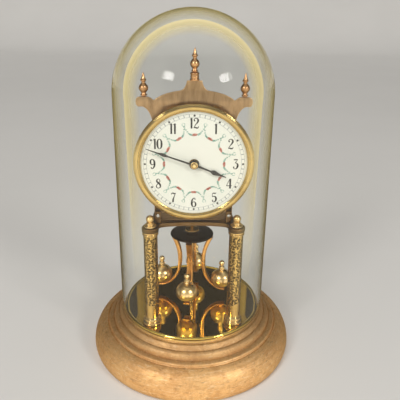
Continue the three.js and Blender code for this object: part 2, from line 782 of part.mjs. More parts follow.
// ---------------------------------------------------------------- glass dome
const SHOULDER_Z = DOME_TOP - DOME_R; // the half sphere starts here
function domeArc(radius, steps) {
  const arc = [];
  for (let i = 0; i <= steps; i += 1) {
    const a = (Math.PI / 2) * (i / steps);
    arc.push([i === steps ? 0 : radius * Math.cos(a), SHOULDER_Z + radius * Math.sin(a)]);
  }
  return arc;
}
const domeInside = domeArc(DOME_R - DOME_T, 8).reverse();
const domeProfile = [
  ...domeInside,
  [DOME_R - DOME_T, DOME_Z + 0.5],
  [DOME_R - DOME_T + 0.5, DOME_Z],
  [DOME_R - 0.5, DOME_Z],
  [DOME_R, DOME_Z + 0.5],
  ...domeArc(DOME_R, 8),
];
addPart('glass_dome', turned(domeProfile, FINE), glass());

export default clock;
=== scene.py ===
"""Torsion pendulum (anniversary) clock under a glass dome: its looks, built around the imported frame."""

import json
import math
import random

import bmesh
import bpy
import numpy as np
from mathutils import Matrix, Vector

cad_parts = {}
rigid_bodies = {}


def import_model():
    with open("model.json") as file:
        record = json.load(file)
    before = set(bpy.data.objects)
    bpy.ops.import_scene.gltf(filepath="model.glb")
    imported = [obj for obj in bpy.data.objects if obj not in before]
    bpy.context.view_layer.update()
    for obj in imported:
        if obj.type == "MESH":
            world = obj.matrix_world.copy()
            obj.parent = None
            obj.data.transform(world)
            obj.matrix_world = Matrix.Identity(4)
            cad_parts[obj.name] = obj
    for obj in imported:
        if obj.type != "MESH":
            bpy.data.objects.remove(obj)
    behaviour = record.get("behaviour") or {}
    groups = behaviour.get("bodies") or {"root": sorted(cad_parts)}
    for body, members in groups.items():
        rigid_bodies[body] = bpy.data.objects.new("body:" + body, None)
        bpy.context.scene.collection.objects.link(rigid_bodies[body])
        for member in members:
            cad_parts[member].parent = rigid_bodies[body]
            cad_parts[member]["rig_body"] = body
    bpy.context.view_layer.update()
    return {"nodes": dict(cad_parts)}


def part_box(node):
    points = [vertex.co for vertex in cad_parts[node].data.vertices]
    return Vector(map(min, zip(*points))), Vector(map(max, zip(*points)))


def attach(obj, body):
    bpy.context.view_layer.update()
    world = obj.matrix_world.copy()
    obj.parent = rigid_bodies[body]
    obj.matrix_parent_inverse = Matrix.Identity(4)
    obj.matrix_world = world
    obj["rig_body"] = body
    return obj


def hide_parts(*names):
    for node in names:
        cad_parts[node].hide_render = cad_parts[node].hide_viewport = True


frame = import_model()
MM = 0.001
ORIGIN = (0, 0, 0)


# ------------------------------------------------------------------ places taken from the frame, in mm
def middle(node):
    """Centre of a CAD node's box, in mm."""
    start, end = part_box(node)
    return (start + end) / 2 / MM


def low(node):
    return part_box(node)[0] / MM


def high(node):
    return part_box(node)[1] / MM


PEND = (0.0, middle("rating_disc").y)  # torsion axis in plan
COLUMNS = {side: middle(f"column_{side}") for side in ("left", "right")}
DIAL_CENTRE = (middle("dial").x, middle("dial").z)
DIAL_FACE = low("dial").y  # front of the enamel
DIAL_BACK = high("dial").y
FRONT_PLATE = (low("front_plate").y, high("front_plate").y)
BACK_PLATE = (low("back_plate").y, high("back_plate").y)
PLATFORM = (low("platform").z, high("platform").z)
DOME_R = high("glass_dome").x
DOME_TOP = high("glass_dome").z
DOME_RIM = low("glass_dome").z


# ------------------------------------------------------------------ camera
CAMERA_AT = (-0.01236, -0.42907, 0.33001)
CAMERA_TURN = math.radians(-2.6)
CAMERA_DIP = math.radians(22.2)
CAMERA_ROLL = math.radians(0.86)
LENS_MM = 43.83
SENSOR_MM = 36


def make_camera():
    """In front of the dial, a little above the dome's middle, looking down."""
    forward = Vector((
        -math.sin(CAMERA_TURN) * math.cos(CAMERA_DIP),
        math.cos(CAMERA_TURN) * math.cos(CAMERA_DIP),
        -math.sin(CAMERA_DIP),
    ))
    level = Vector((math.cos(CAMERA_TURN), math.sin(CAMERA_TURN), 0))
    upright = level.cross(forward)
    right = level * math.cos(CAMERA_ROLL) + upright * math.sin(CAMERA_ROLL)
    up = upright * math.cos(CAMERA_ROLL) - level * math.sin(CAMERA_ROLL)
    data = bpy.data.cameras.new("camera")
    data.lens = LENS_MM
    data.sensor_width = SENSOR_MM
    data.clip_start = 0.01
    data.clip_end = 200
    camera = bpy.data.objects.new("camera", data)
    turn = Matrix((right, up, -forward)).transposed().to_4x4()
    camera.matrix_world = Matrix.Translation(CAMERA_AT) @ turn
    bpy.context.scene.collection.objects.link(camera)
    bpy.context.scene.camera = camera


# ------------------------------------------------------------------ mesh helpers
def new_object(name, mesh, at=(0, 0, 0), turn=None):
    """Puts a mesh in the scene; at is in mm."""
    obj = bpy.data.objects.new(name, mesh)
    bpy.context.scene.collection.objects.link(obj)
    placed = Matrix.Translation(Vector(at) * MM)
    obj.matrix_world = placed @ turn.to_4x4() if turn else placed
    return obj


def shade(bm, angle=38):
    """Smooth faces, with sharp edges where the surface turns by more than the angle."""
    bmesh.ops.remove_doubles(bm, verts=bm.verts, dist=1e-7)
    bmesh.ops.dissolve_degenerate(bm, dist=1e-8, edges=bm.edges)
    bmesh.ops.recalc_face_normals(bm, faces=bm.faces)
    limit = math.radians(angle)
    for face in bm.faces:
        face.smooth = True
    for edge in bm.edges:
        edge.smooth = len(edge.link_faces) == 2 and edge.calc_face_angle(0) < limit


def mesh_from(bm, name, angle=38):
    shade(bm, angle)
    mesh = bpy.data.meshes.new(name)
    bm.to_mesh(mesh)
    bm.free()
    return mesh


def arc(cx, cy, radius, start, end, steps):
    """Points on an arc; the angles are in degrees."""
    points = []
    for i in range(steps + 1):
        a = math.radians(start + (end - start) * i / steps)
        points.append((cx + radius * math.cos(a), cy + radius * math.sin(a)))
    return points


def circle(cx, cy, radius, steps=48):
    return arc(cx, cy, radius, 0, 360 * (steps - 1) / steps, steps - 1)


def softened(points, radius, steps=3, closed=False):
    """Turns each corner of an outline into a small curve."""
    points = [Vector(p) for p in points]
    count = len(points)
    result = []
    for i, corner in enumerate(points):
        if not closed and i in (0, count - 1):
            result.append(tuple(corner))
            continue
        before = points[i - 1] - corner
        after = points[(i + 1) % count] - corner
        reach = min(radius, before.length * 0.45, after.length * 0.45)
        start = corner + before.normalized() * reach
        end = corner + after.normalized() * reach
        for k in range(steps + 1):
            t = k / steps
            result.append(tuple(start * (1 - t) ** 2 + corner * 2 * t * (1 - t) + end * t * t))
    return result


def flowing(points, steps=6):
    """Smooth curve through the points (Catmull-Rom)."""
    pts = [Vector(p) for p in points]
    pts = [pts[0] * 2 - pts[1], *pts, pts[-1] * 2 - pts[-2]]
    result = []
    for a, b, c, d in zip(pts, pts[1:], pts[2:], pts[3:]):
        for k in range(steps):
            t = k / steps
            result.append(0.5 * (2 * b + (c - a) * t + (2 * a - 5 * b + 4 * c - d) * t ** 2
                                 + (3 * b - a - 3 * c + d) * t ** 3))
    result.append(pts[-2])
    return result


def curved(points, steps):
    """Smooth curve through the points, as plain pairs."""
    return [tuple(p) for p in flowing(points, steps)]


def dot(bm, x, y, z):
    """New vertex; the place is in mm."""
    return bm.verts.new((x * MM, y * MM, z * MM))


def skin(bm, rings, around=False, caps=False):
    """Faces between successive rings of vertices; a ring of one vertex is a pole."""
    pairs = list(zip(rings, rings[1:]))
    if around:
        pairs.append((rings[-1], rings[0]))
    for one, two in pairs:
        count = max(len(one), len(two))
        for i in range(count):
            k = (i + 1) % count
            corners = (one[i % len(one)], one[k % len(one)], two[k % len(two)], two[i % len(two)])
            corners = list(dict.fromkeys(corners))
            if len(corners) > 2:
                bm.faces.new(corners)
    if caps:
        bm.faces.new(rings[0])
        bm.faces.new(rings[-1])


def lathe(name, profile, at, along="Z", segments=96, soften=0.25, closed=False):
    """Turned piece. The profile is (radius, height) in mm; at is the foot of its axis."""
    points = softened(profile, soften, closed=closed) if soften else list(profile)
    bm = bmesh.new()
    rings = []
    for radius, height in points:
        if radius < 1e-6:
            rings.append([dot(bm, 0, 0, height)])
        else:
            rings.append([dot(bm, x, y, height) for x, y in circle(0, 0, radius, segments)])
    skin(bm, rings, around=closed)
    turn = Matrix.Rotation(math.radians(-90), 3, "X") if along == "Y" else None
    return new_object(name, mesh_from(bm, name), at, turn)


def lathe_y(name, profile, centre, segments=96, soften=0.2, closed=False):
    """Turned piece about a line parallel to Y through (x, z); the profile is (radius, y)."""
    return lathe(name, profile, (centre[0], 0, centre[1]), "Y", segments, soften, closed)


def sheet(name, loops, start, end, upright=True, bevel=0.25, at=(0, 0), angle=38):
    """Flat piece with rounded edges, from its outline and holes. An upright sheet is drawn in
    (x, z) and runs from y = start to y = end; a level one is drawn in (x, y). The face attribute
    "rim" marks the rounded edges, which sheet_metal gives a painted highlight."""
    curve = bpy.data.curves.new(name, "CURVE")
    curve.dimensions = "2D"
    curve.fill_mode = "BOTH"
    curve.bevel_depth = bevel * MM
    curve.bevel_resolution = 2
    curve.offset = -bevel * MM
    curve.extrude = ((end - start) / 2 - bevel) * MM
    for loop in loops:
        spline = curve.splines.new("POLY")
        spline.points.add(len(loop) - 1)
        for point, (x, y) in zip(spline.points, loop):
            point.co = (x * MM, y * MM, 0, 1)
        spline.use_cyclic_u = True
    holder = bpy.data.objects.new(name, curve)
    bpy.context.scene.collection.objects.link(holder)
    ready = holder.evaluated_get(bpy.context.evaluated_depsgraph_get())
    mesh = bpy.data.meshes.new_from_object(ready)
    bpy.data.objects.remove(holder)
    bm = bmesh.new()
    bm.from_mesh(mesh)
    bpy.data.meshes.remove(mesh)
    rim = bm.faces.layers.float.new("rim")
    bm.normal_update()
    for face in bm.faces:
        face[rim] = float(0.1 < abs(face.normal.z) < 0.99)
    mid = (start + end) / 2
    made = mesh_from(bm, name, angle)
    if upright:
        return new_object(name, made, (at[0], mid, at[1]), Matrix.Rotation(math.pi / 2, 3, "X"))
    return new_object(name, made, (at[0], at[1], mid))


def block(name, x, y, z, bevel=0.4, segments=3):
    """Box with rounded edges between the pairs x, y and z."""
    bm = bmesh.new()
    bmesh.ops.create_cube(bm, size=1)
    size = Vector((x[1] - x[0], y[1] - y[0], z[1] - z[0])) * MM
    bmesh.ops.scale(bm, vec=size, verts=bm.verts)
    bmesh.ops.bevel(bm, geom=bm.edges[:], offset=bevel * MM, segments=segments, profile=0.5, affect="EDGES")
    centre = ((x[0] + x[1]) / 2, (y[0] + y[1]) / 2, (z[0] + z[1]) / 2)
    return new_object(name, mesh_from(bm, name), centre)


def merged(name, objects):
    """One object from several, at the first one's place."""
    first = objects[0]
    bm = bmesh.new()
    bpy.context.view_layer.update()
    home = first.matrix_world.inverted()
    for obj in objects:
        part = bmesh.new()
        part.from_mesh(obj.data)
        part.transform(home @ obj.matrix_world)
        scrap = bpy.data.meshes.new("scrap")
        part.to_mesh(scrap)
        part.free()
        bm.from_mesh(scrap)
        bpy.data.meshes.remove(scrap)
    mesh = bpy.data.meshes.new(name)
    bm.to_mesh(mesh)
    bm.free()
    result = bpy.data.objects.new(name, mesh)
    bpy.context.scene.collection.objects.link(result)
    result.matrix_world = first.matrix_world
    for obj in objects:
        bpy.data.objects.remove(obj)
    return result


# ------------------------------------------------------------------ shader helpers
def fill_ramp(node, stops):
    """Sets a colour ramp's stops: (position, grey or colour)."""
    elements = node.color_ramp.elements
    while len(elements) < len(stops):
        elements.new(0.5)
    for element, (position, value) in zip(elements, stops):
        element.position = position
        colour = value if isinstance(value, tuple) else (value, value, value)
        element.color = (*colour, 1)


def darker(colour, share):
    return tuple(channel * share for channel in colour)


class Shader:
    """A Principled material whose other nodes are added by short calls."""

    def __init__(self, name):
        self.material = bpy.data.materials.new(name)
        self.material.use_nodes = True
        self.tree = self.material.node_tree
        self.tree.nodes.clear()
        self.output = self.node("ShaderNodeOutputMaterial")
        self.bsdf = self.node("ShaderNodeBsdfPrincipled")
        self.link(self.bsdf.outputs[0], self.output.inputs["Surface"])
        self.place = self.node("ShaderNodeTexCoord").outputs["Object"]

    def node(self, kind, **settings):
        made = self.tree.nodes.new(kind)
        for key, value in settings.items():
            setattr(made, key, value)
        return made

    def link(self, source, target):
        self.tree.links.new(source, target)

    def feed(self, socket, value):
        if isinstance(value, bpy.types.NodeSocket):
            self.link(value, socket)
        elif isinstance(value, tuple) and len(value) == 3 and socket.type == "RGBA":
            socket.default_value = (*value, 1)
        else:
            socket.default_value = value

    def set(self, **values):
        for key, value in values.items():
            self.feed(self.bsdf.inputs[key.replace("_", " ")], value)

    def noise(self, scale, detail=4.0, roughness=0.55, vector=None, distortion=0.0):
        made = self.node("ShaderNodeTexNoise")
        self.feed(made.inputs["Vector"], vector or self.place)
        made.inputs["Scale"].default_value = scale
        made.inputs["Detail"].default_value = detail
        made.inputs["Roughness"].default_value = roughness
        made.inputs["Distortion"].default_value = distortion
        return made.outputs[0]

    def ramp(self, factor, *stops):
        made = self.node("ShaderNodeValToRGB")
        self.feed(made.inputs[0], factor)
        fill_ramp(made, stops)
        return made.outputs[0]

    def cut(self, value, start, end):
        """0 up to start, 1 from end on."""
        return self.ramp(value, (start, 0.0), (end, 1.0))

    def math(self, operation, one, two=0.0):
        made = self.node("ShaderNodeMath", operation=operation)
        self.feed(made.inputs[0], one)
        self.feed(made.inputs[1], two)
        return made.outputs[0]

    def mix(self, factor, one, two):
        made = self.node("ShaderNodeMix", data_type="RGBA")
        self.feed(made.inputs["Factor"], factor)
        self.feed(made.inputs[6], one)
        self.feed(made.inputs[7], two)
        return made.outputs[2]

    def over(self, body, colour, mask, share):
        """Lays a colour over the body by the mask, up to that share."""
        return self.mix(self.math("MULTIPLY", mask, share), body, colour)

    def blend(self, one, two, share):
        """Weighted sum of two values."""
        return self.math("ADD", self.math("MULTIPLY", one, 1 - share), self.math("MULTIPLY", two, share))

    def either(self, factor, one, two):
        """Mix of two surface shaders."""
        made = self.node("ShaderNodeMixShader")
        for socket, source in zip(made.inputs, (factor, one, two)):
            self.link(source, socket)
        return made.outputs[0]

    def span(self, factor, start, end):
        """Maps 0..1 to start..end."""
        made = self.node("ShaderNodeMapRange")
        self.feed(made.inputs["Value"], factor)
        made.inputs["To Min"].default_value = start
        made.inputs["To Max"].default_value = end
        return made.outputs[0]

    def bump(self, height, strength, distance, normal=None):
        made = self.node("ShaderNodeBump")
        self.feed(made.inputs["Height"], height)
        made.inputs["Strength"].default_value = strength
        made.inputs["Distance"].default_value = distance
        if normal is not None:
            self.link(normal, made.inputs["Normal"])
        return made.outputs[0]

    def vector(self, operation, one, **inputs):
        made = self.node("ShaderNodeVectorMath", operation=operation)
        self.link(one, made.inputs[0])
        for key, value in inputs.items():
            made.inputs[key].default_value = value
        return made

    def parts(self, source):
        made = self.node("ShaderNodeSeparateXYZ")
        self.link(source, made.inputs[0])
        return made.outputs

    def joined(self, *values):
        made = self.node("ShaderNodeCombineXYZ")
        for socket, value in zip(made.inputs, values):
            self.feed(socket, value)
        return made.outputs[0]

    def around(self, along, across):
        """Coordinates for turning marks: slow along the turning direction, quick across it."""
        x, y, z = self.parts(self.place)
        flat = self.joined(x, y)
        radius = self.vector("LENGTH", flat).outputs["Value"]
        unit = self.vector("NORMALIZE", flat).outputs[0]
        sides = self.parts(self.vector("SCALE", unit, Scale=along).outputs[0])
        run = self.math("SUBTRACT", z, self.math("MULTIPLY", radius, 0.6))
        return self.joined(sides[0], sides[1], self.math("MULTIPLY", run, across))

    def turning_lines(self, detail=3, roughness=0.6, along=2.0, across=2600):
        return self.noise(1.0, detail, roughness, self.around(along, across))

    def stretched(self, sx, sy, sz):
        made = self.node("ShaderNodeMapping")
        self.link(self.place, made.inputs["Vector"])
        made.inputs["Scale"].default_value = (sx, sy, sz)
        return made.outputs[0]

    def rising(self, axis, start, end):
        """0 below start, 1 above end, along one axis (metres)."""
        made = self.node("ShaderNodeMapRange")
        self.link(self.parts(self.place)[axis], made.inputs["Value"])
        made.inputs["From Min"].default_value = start
        made.inputs["From Max"].default_value = end
        return made.outputs[0]

    def hollows(self, start=0.40, end=0.50):
        """Mask for painted shade: 1 in hollow corners, 0 on open surfaces, from the curvature of the mesh.
        """
        shape = self.node("ShaderNodeNewGeometry")
        return self.math("SUBTRACT", 1.0, self.cut(shape.outputs["Pointiness"], start, end))

    def attribute(self, name):
        return self.node("ShaderNodeAttribute", attribute_name=name).outputs["Fac"]


# ------------------------------------------------------------------ materials
def turned_metal(name, colour, tarnish, rough, clouds=55, cover=0.5):
    """Turned brass: cloudy tarnish, small specks, turning lines and painted shade in the hollows."""
    s = Shader(name)
    cloud = s.cut(s.noise(clouds, 5, 0.6, distortion=0.4), 0.38, 0.66)
    body = s.over(colour, tarnish, cloud, cover)
    body = s.over(body, darker(tarnish, 0.45), s.cut(s.noise(clouds * 22, 3, 0.6), 0.60, 0.70), 0.25)
    # Painted shade in the hollows.
    body = s.over(body, darker(tarnish, 0.22), s.hollows(), 0.6)
    streak = s.turning_lines(along=2.5)
    s.set(Base_Color=body, Metallic=1.0, Roughness=s.span(s.blend(cloud, streak, 0.4), *rough))
    s.set(Normal=s.bump(streak, 0.15, 0.00008, s.bump(s.noise(clouds * 1.5, 3), 0.05, 0.0012)))
    return s.material


def sheet_metal(name, colour, tarnish, rough, grain=(40, 2200, 2200), streaks=0.0, shade_below=None):
    """Rolled sheet: straight fine grain, cloudy tarnish, small specks and painted highlights on the rounded
    edges.
    The last argument is (axis, start, end): painted shade, the colour fades darker below end."""
    s = Shader(name)
    cloud = s.cut(s.noise(50, 5, 0.6, distortion=0.3), 0.36, 0.68)
    body = s.over(colour, tarnish, cloud, 0.5)
    body = s.over(body, darker(tarnish, 0.4), s.cut(s.noise(1000, 3, 0.6), 0.62, 0.72), 0.2)
    line = s.noise(1.0, 3, 0.6, s.stretched(*grain))
    body = s.over(body, darker(tarnish, 0.7), s.cut(line, 0.42, 0.62), 0.35)
    if streaks:
        broad = s.cut(s.noise(1.0, 4, 0.6, s.stretched(150, 40, 12)), 0.40, 0.62)
        body = s.over(body, darker(tarnish, 0.62), broad, streaks)
    # Painted shade: darker towards the low end of the given axis.
    if shade_below:
        body = s.mix(s.rising(*shade_below), darker(tarnish, 0.30), body)
    # Painted highlight: the rounded edges are made brighter than the flat faces.
    body = s.over(body, tuple(min(c * 1.5, 0.95) for c in colour), s.attribute("rim"), 0.7)
    s.set(Base_Color=body, Metallic=1.0, Roughness=s.span(s.blend(cloud, line, 0.45), *rough))
    s.set(Normal=s.bump(line, 0.12, 0.00006, s.bump(s.noise(40, 2), 0.05, 0.001)))
    return s.material


def base_metal():
    """Matt, mottled brass of the turned base: rubbed golden patches over brown lacquer."""
    s = Shader("aged_base_brass")
    broad = s.cut(s.noise(22, 6, 0.62, distortion=0.6), 0.36, 0.64)
    body = s.mix(broad, (0.78, 0.45, 0.18), (0.90, 0.58, 0.26))
    patch = s.cut(s.noise(95, 8, 0.70, distortion=0.8), 0.44, 0.60)
    body = s.over(body, (0.52, 0.27, 0.10), patch, 0.45)
    streak = s.turning_lines(4, 0.7, 3.2, 900)
    body = s.over(body, (0.94, 0.66, 0.37), s.cut(streak, 0.40, 0.62), 0.35)
    fleck = s.cut(s.noise(1.0, 6, 0.75, s.around(16, 620), 0.6), 0.53, 0.64)
    body = s.over(body, (1.0, 0.80, 0.52), fleck, 0.60)
    scuff = s.cut(s.noise(1.0, 6, 0.72, s.around(12, 380), 0.8), 0.55, 0.66)
    body = s.over(body, (0.34, 0.175, 0.07), scuff, 0.50)
    body = s.over(body, (0.26, 0.13, 0.06), s.cut(s.noise(1500, 4, 0.65), 0.57, 0.66), 0.42)
    # Painted shade in the hollows of the turned profile.
    body = s.over(body, (0.13, 0.065, 0.028), s.hollows(0.38, 0.49), 0.85)
    # Painted shade: the stepped rings above the skirt are made darker than the skirt.
    body = s.over(body, (0.40, 0.26, 0.14), s.rising(2, 0.0285, 0.0325), 0.38)
    s.set(Base_Color=body, Metallic=1.0, Roughness=s.span(s.blend(patch, streak, 0.5), 0.50, 0.68))
    fine = s.bump(s.noise(700, 4, 0.7), 0.30, 0.0003)
    s.set(Normal=s.bump(s.turning_lines(across=2400), 0.22, 0.0001, fine))
    return s.material


def mirror_brass():
    """Polished plate under the pendulum: yellow-gold, faint wipe marks and age spots."""
    s = Shader("mirror_brass")
    cloud = s.cut(s.noise(30, 5, 0.6, distortion=0.5), 0.38, 0.7)
    body = s.mix(cloud, (0.92, 0.72, 0.20), (0.76, 0.56, 0.13))
    body = s.over(body, (0.28, 0.16, 0.06), s.cut(s.noise(420, 4, 0.6), 0.66, 0.74), 0.35)
    haze = s.cut(s.noise(60, 6, 0.7, distortion=1.2), 0.45, 0.75)
    s.set(Base_Color=body, Metallic=1.0, Roughness=s.span(haze, 0.035, 0.16))
    s.set(Normal=s.bump(s.noise(14, 2), 0.06, 0.0012))
    return s.material


def etched_brass():
    """Column brass: bright where raised, dark brown in the etched ground."""
    s = Shader("etched_brass")
    etch = s.attribute("etch")
    grit = s.cut(s.noise(3500, 3, 0.7), 0.35, 0.65)
    ground = s.mix(grit, (0.010, 0.006, 0.003), (0.07, 0.040, 0.016))
    cloud = s.cut(s.noise(80, 4, 0.6), 0.36, 0.68)
    polished = s.over((0.70, 0.48, 0.16), (0.42, 0.25, 0.07), cloud, 0.6)
    s.set(Base_Color=s.mix(etch, polished, ground), Metallic=1.0)
    s.set(Roughness=s.mix(etch, s.ramp(cloud, (0.0, 0.14), (1.0, 0.24)), (0.5, 0.5, 0.5)))
    s.set(Normal=s.bump(grit, 0.2, 0.00005, s.bump(s.turning_lines(), 0.1, 0.00006)))
    return s.material


def enamel():
    s = Shader("white_enamel")
    cloud = s.noise(35, 3)
    body = s.mix(s.cut(cloud, 0.35, 0.7), (0.86, 0.86, 0.80), (0.80, 0.82, 0.76))
    body = s.over(body, (0.55, 0.52, 0.44), s.cut(s.noise(900, 3, 0.6), 0.70, 0.76), 0.25)
    s.set(Base_Color=body, Roughness=s.span(cloud, 0.10, 0.22), Coat_Weight=0.5, Coat_Roughness=0.05)
    s.set(Normal=s.bump(s.noise(90, 3), 0.06, 0.0006))
    return s.material


def print_colour(name, dark, pale):
    """Fired paint on the enamel, thin in places."""
    s = Shader(name)
    body = s.mix(s.cut(s.noise(700, 4, 0.6), 0.40, 0.66), dark, pale)
    s.set(Base_Color=body, Roughness=s.span(s.noise(900, 2), 0.27, 0.45))
    s.set(Normal=s.bump(s.noise(2500, 2), 0.1, 0.00003))
    return s.material


def black_paint():
    s = Shader("black_hands")
    body = s.mix(s.cut(s.noise(400, 4), 0.40, 0.70), (0.012, 0.012, 0.013), (0.035, 0.032, 0.028))
    s.set(Base_Color=body, Roughness=s.span(s.noise(250, 3), 0.22, 0.42), Coat_Weight=0.3)
    s.set(Normal=s.bump(s.noise(1400, 3), 0.12, 0.00004))
    return s.material


def clear_glass():
    """Blown glass, slightly wavy; rays to lamps and from mirrors go straight through."""
    s = Shader("dome_glass")
    s.set(Base_Color=(0.975, 0.985, 0.975), Transmission_Weight=1.0, IOR=1.24)
    smear = s.cut(s.noise(16, 5, 0.65, s.stretched(1, 1, 0.35), 1.5), 0.52, 0.80)
    s.set(Roughness=s.span(smear, 0.0, 0.008))
    s.set(Normal=s.bump(s.noise(9, 2, 0.5, s.stretched(1, 1, 0.3)), 0.05, 0.002))
    clear = s.node("ShaderNodeBsdfTransparent")
    clear.inputs[0].default_value = (0.96, 0.965, 0.95, 1)
    path = s.node("ShaderNodeLightPath")
    lamp, mirror = path.outputs["Is Shadow Ray"], path.outputs["Is Reflection Ray"]
    glass = s.either(s.math("MAXIMUM", lamp, mirror), s.bsdf.outputs[0], clear.outputs[0])
    # Painted reflection: a warm band a little inside the outline, strongest at the top and gone below 90 mm;
    # rays from the mirror plate see it at any height.
    warm_reflection = s.node("ShaderNodeBsdfDiffuse")
    warm_reflection.inputs[0].default_value = (0.80, 0.68, 0.32, 1)
    tilt = s.node("ShaderNodeLayerWeight")
    tilt.inputs["Blend"].default_value = 0.5
    reflection_band = s.ramp(tilt.outputs["Facing"], (0.28, 0.0), (0.44, 0.75), (0.49, 1.0), (0.505, 0.0))
    tall = s.math("MAXIMUM", s.rising(2, 0.09, 0.22), s.math("MULTIPLY", mirror, 0.8))
    share = s.math("MULTIPLY", s.math("MULTIPLY", reflection_band, tall), 0.62)
    share = s.math("MULTIPLY", share, s.math("SUBTRACT", 1.0, lamp))
    s.link(s.either(share, glass, warm_reflection.outputs[0]), s.output.inputs["Surface"])
    return s.material


def floor_paint():
    s = Shader("pale_floor")
    body = s.mix(s.noise(3, 3), (0.60, 0.595, 0.585), (0.65, 0.645, 0.635))
    s.set(Base_Color=body, Roughness=0.62)
    s.set(Normal=s.bump(s.noise(500, 3), 0.05, 0.0003))
    return s.material


BASE_METAL = base_metal()
MIRROR = mirror_brass()
ETCHED = etched_brass()
BRASS = turned_metal("polished_turned_brass", (0.84, 0.60, 0.26), (0.62, 0.38, 0.14), (0.10, 0.24))
BALL_BRASS = turned_metal("ball_brass", (0.96, 0.72, 0.36), (0.78, 0.53, 0.22), (0.24, 0.38), 90, 0.6)
COPPER = turned_metal("copper_turned_brass", (0.70, 0.42, 0.22), (0.42, 0.22, 0.10), (0.22, 0.4), 120)
# Painted shade: brass darkened to near black for the crown under the platform.
SHADED_CROWN = turned_metal("shaded_crown_brass", (0.055, 0.03, 0.013), (0.03, 0.016, 0.008), (0.25, 0.42), 90)
BEZEL_BRASS = turned_metal("bezel_brass", (0.62, 0.45, 0.18), (0.40, 0.28, 0.11), (0.08, 0.17), cover=0.6)
# The cresting plate gets painted shade on its lower part, fading out from 162 to 185 mm up.
CREST = sheet_metal("cresting_brass", (0.50, 0.345, 0.20), (0.34, 0.22, 0.12), (0.28, 0.44),
                    grain=(2200, 60, 60), streaks=0.6, shade_below=(1, 0.162, 0.185))
PLATE_BRASS = sheet_metal("movement_brass", (0.80, 0.58, 0.26), (0.62, 0.42, 0.17), (0.2, 0.34))
# Painted shade: brass darkened to dark brown for the platform and the plate channels.
SHADED_PLATFORM_BRASS = sheet_metal("shaded_platform_brass", (0.19, 0.112, 0.045), (0.10, 0.056, 0.022), (0.26, 0.42))
ARM_COPPER = sheet_metal("arm_copper", (0.88, 0.49, 0.155), (0.62, 0.31, 0.09), (0.24, 0.38),
                         grain=(900, 900, 40))
WHEEL_BRASS = sheet_metal("wheel_brass", (0.82, 0.60, 0.26), (0.68, 0.46, 0.18), (0.18, 0.32))
STEEL = turned_metal("bright_steel", (0.56, 0.57, 0.58), (0.34, 0.33, 0.31), (0.18, 0.34), 150, 0.4)
FLAT_STEEL = sheet_metal("flat_steel", (0.56, 0.57, 0.58), (0.36, 0.35, 0.33), (0.2, 0.36))
ENAMEL = enamel()
INK = print_colour("numeral_black", (0.010, 0.010, 0.012), (0.035, 0.034, 0.034))
TRACK_INK = print_colour("track_blue_grey", (0.16, 0.19, 0.21), (0.34, 0.38, 0.40))
LEAF_PAINT = print_colour("garland_green", (0.17, 0.33, 0.27), (0.42, 0.60, 0.53))
ROSE_PAINT = print_colour("garland_rose", (0.42, 0.11, 0.09), (0.72, 0.34, 0.28))
BUD_PAINT = print_colour("garland_bud", (0.30, 0.12, 0.09), (0.56, 0.30, 0.22))
HAND_PAINT = black_paint()
GLASS = clear_glass()


# ------------------------------------------------------------------ joining pieces to the frame
def belongs(obj, material, body):
    """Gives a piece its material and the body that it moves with."""
    obj.data.materials.clear()
    obj.data.materials.append(material)
    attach(obj, body)


def stands_for(obj, material, node):
    """The piece takes the place of a CAD node, on its body."""
    belongs(obj, material, frame["nodes"][node]["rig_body"])
    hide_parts(node)


# ------------------------------------------------------------------ base
def make_base():
    skirt = [
        (94, 0), (98.2, 1.6), (99.8, 5.5), (99.9, 9.5), (98.9, 14.5), (96.4, 20), (93, 24.4), (89.4, 27.2),
    ]
    outside = curved(skirt, 5)
    outside += [
        (87.4, 28.2), (86.3, 28.6), (85.9, 28.1), (85.3, 28.1), (84.9, 28.7),
        (84.6, 29.8), (84.0, 30.5), (83.0, 31.0), (81.6, 31.4), (80.4, 31.7), (79.9, 31.3), (79.4, 31.4),
        (79.2, 32.4), (78.8, 34.0), (78.2, 35.3), (77.2, 36.4), (76.0, 37.2), (74.9, 37.6), (74.4, 37.3),
        (73.9, 37.4), (73.5, 38.1), (72.9, 39.2), (72.1, 40.4), (71.3, 41.3), (70.6, 41.65),
        (68.0, 41.65), (67.6, 42.2), (67.5, 44),
    ]
    inside = [
        (48, 44), (48, 42.2), (66, 42.2), (66, 39.4), (73, 36), (77.4, 29.8),
        (86, 26), (94, 19), (97.4, 11), (97.2, 5), (93, 1.8), (88, 1.8), (88, 0),
    ]
    shell = lathe("turned_base", outside + inside, ORIGIN, segments=192, soften=0.16, closed=True)
    stands_for(shell, BASE_METAL, "base_shell")
    plate = [
        (0, 44.3), (66.4, 44.3), (67.0, 44.7), (67.3, 45.3), (67.2, 45.9), (66.8, 46.4), (66.1, 46.7),
        (65.3, 46.7), (64.7, 46.4), (64.4, 46.0), (64.2, 45.65), (63.8, 45.6), (0, 45.6),
    ]
    mirror = lathe("mirror_plate", plate, ORIGIN, segments=192, soften=0.12)
    stands_for(mirror, MIRROR, "base_plate")
    seat = [
        (66.9, 41.7), (67.5, 41.7), (67.8, 42.0), (67.85, 42.6), (67.7, 43.1), (67.75, 43.7),
        (67.6, 44.15), (66.9, 44.2),
    ]
    ring = lathe("dome_seat_ring", seat, ORIGIN, segments=192, soften=0.1, closed=True)
    belongs(ring, BRASS, "frame")
    cup = [
        (0, 45.9), (8, 45.9), (8, 46.7), (7.6, 47.0), (5.9, 47.2), (5.3, 47.6), (5.0, 48.4), (5.0, 50.0),
        (4.6, 50.2), (4.2, 50.0), (4.2, 47.2), (0, 47.2),
    ]
    guard = lathe("pendulum_guard_cup", cup, (*PEND, 0), segments=64, soften=0.15)
    stands_for(guard, BRASS, "pendulum_cup")


# ------------------------------------------------------------------ columns
SHAFT_R = 6.2
SHAFT_Z = (53.8, 138.4)
ETCHED_Z = (66.0, 138.0)
ETCH_DEPTH = 0.10
SHAFT_STEPS, SHAFT_ROWS = 150, 360
VINE_LANES = 10
CURL_R = 0.98


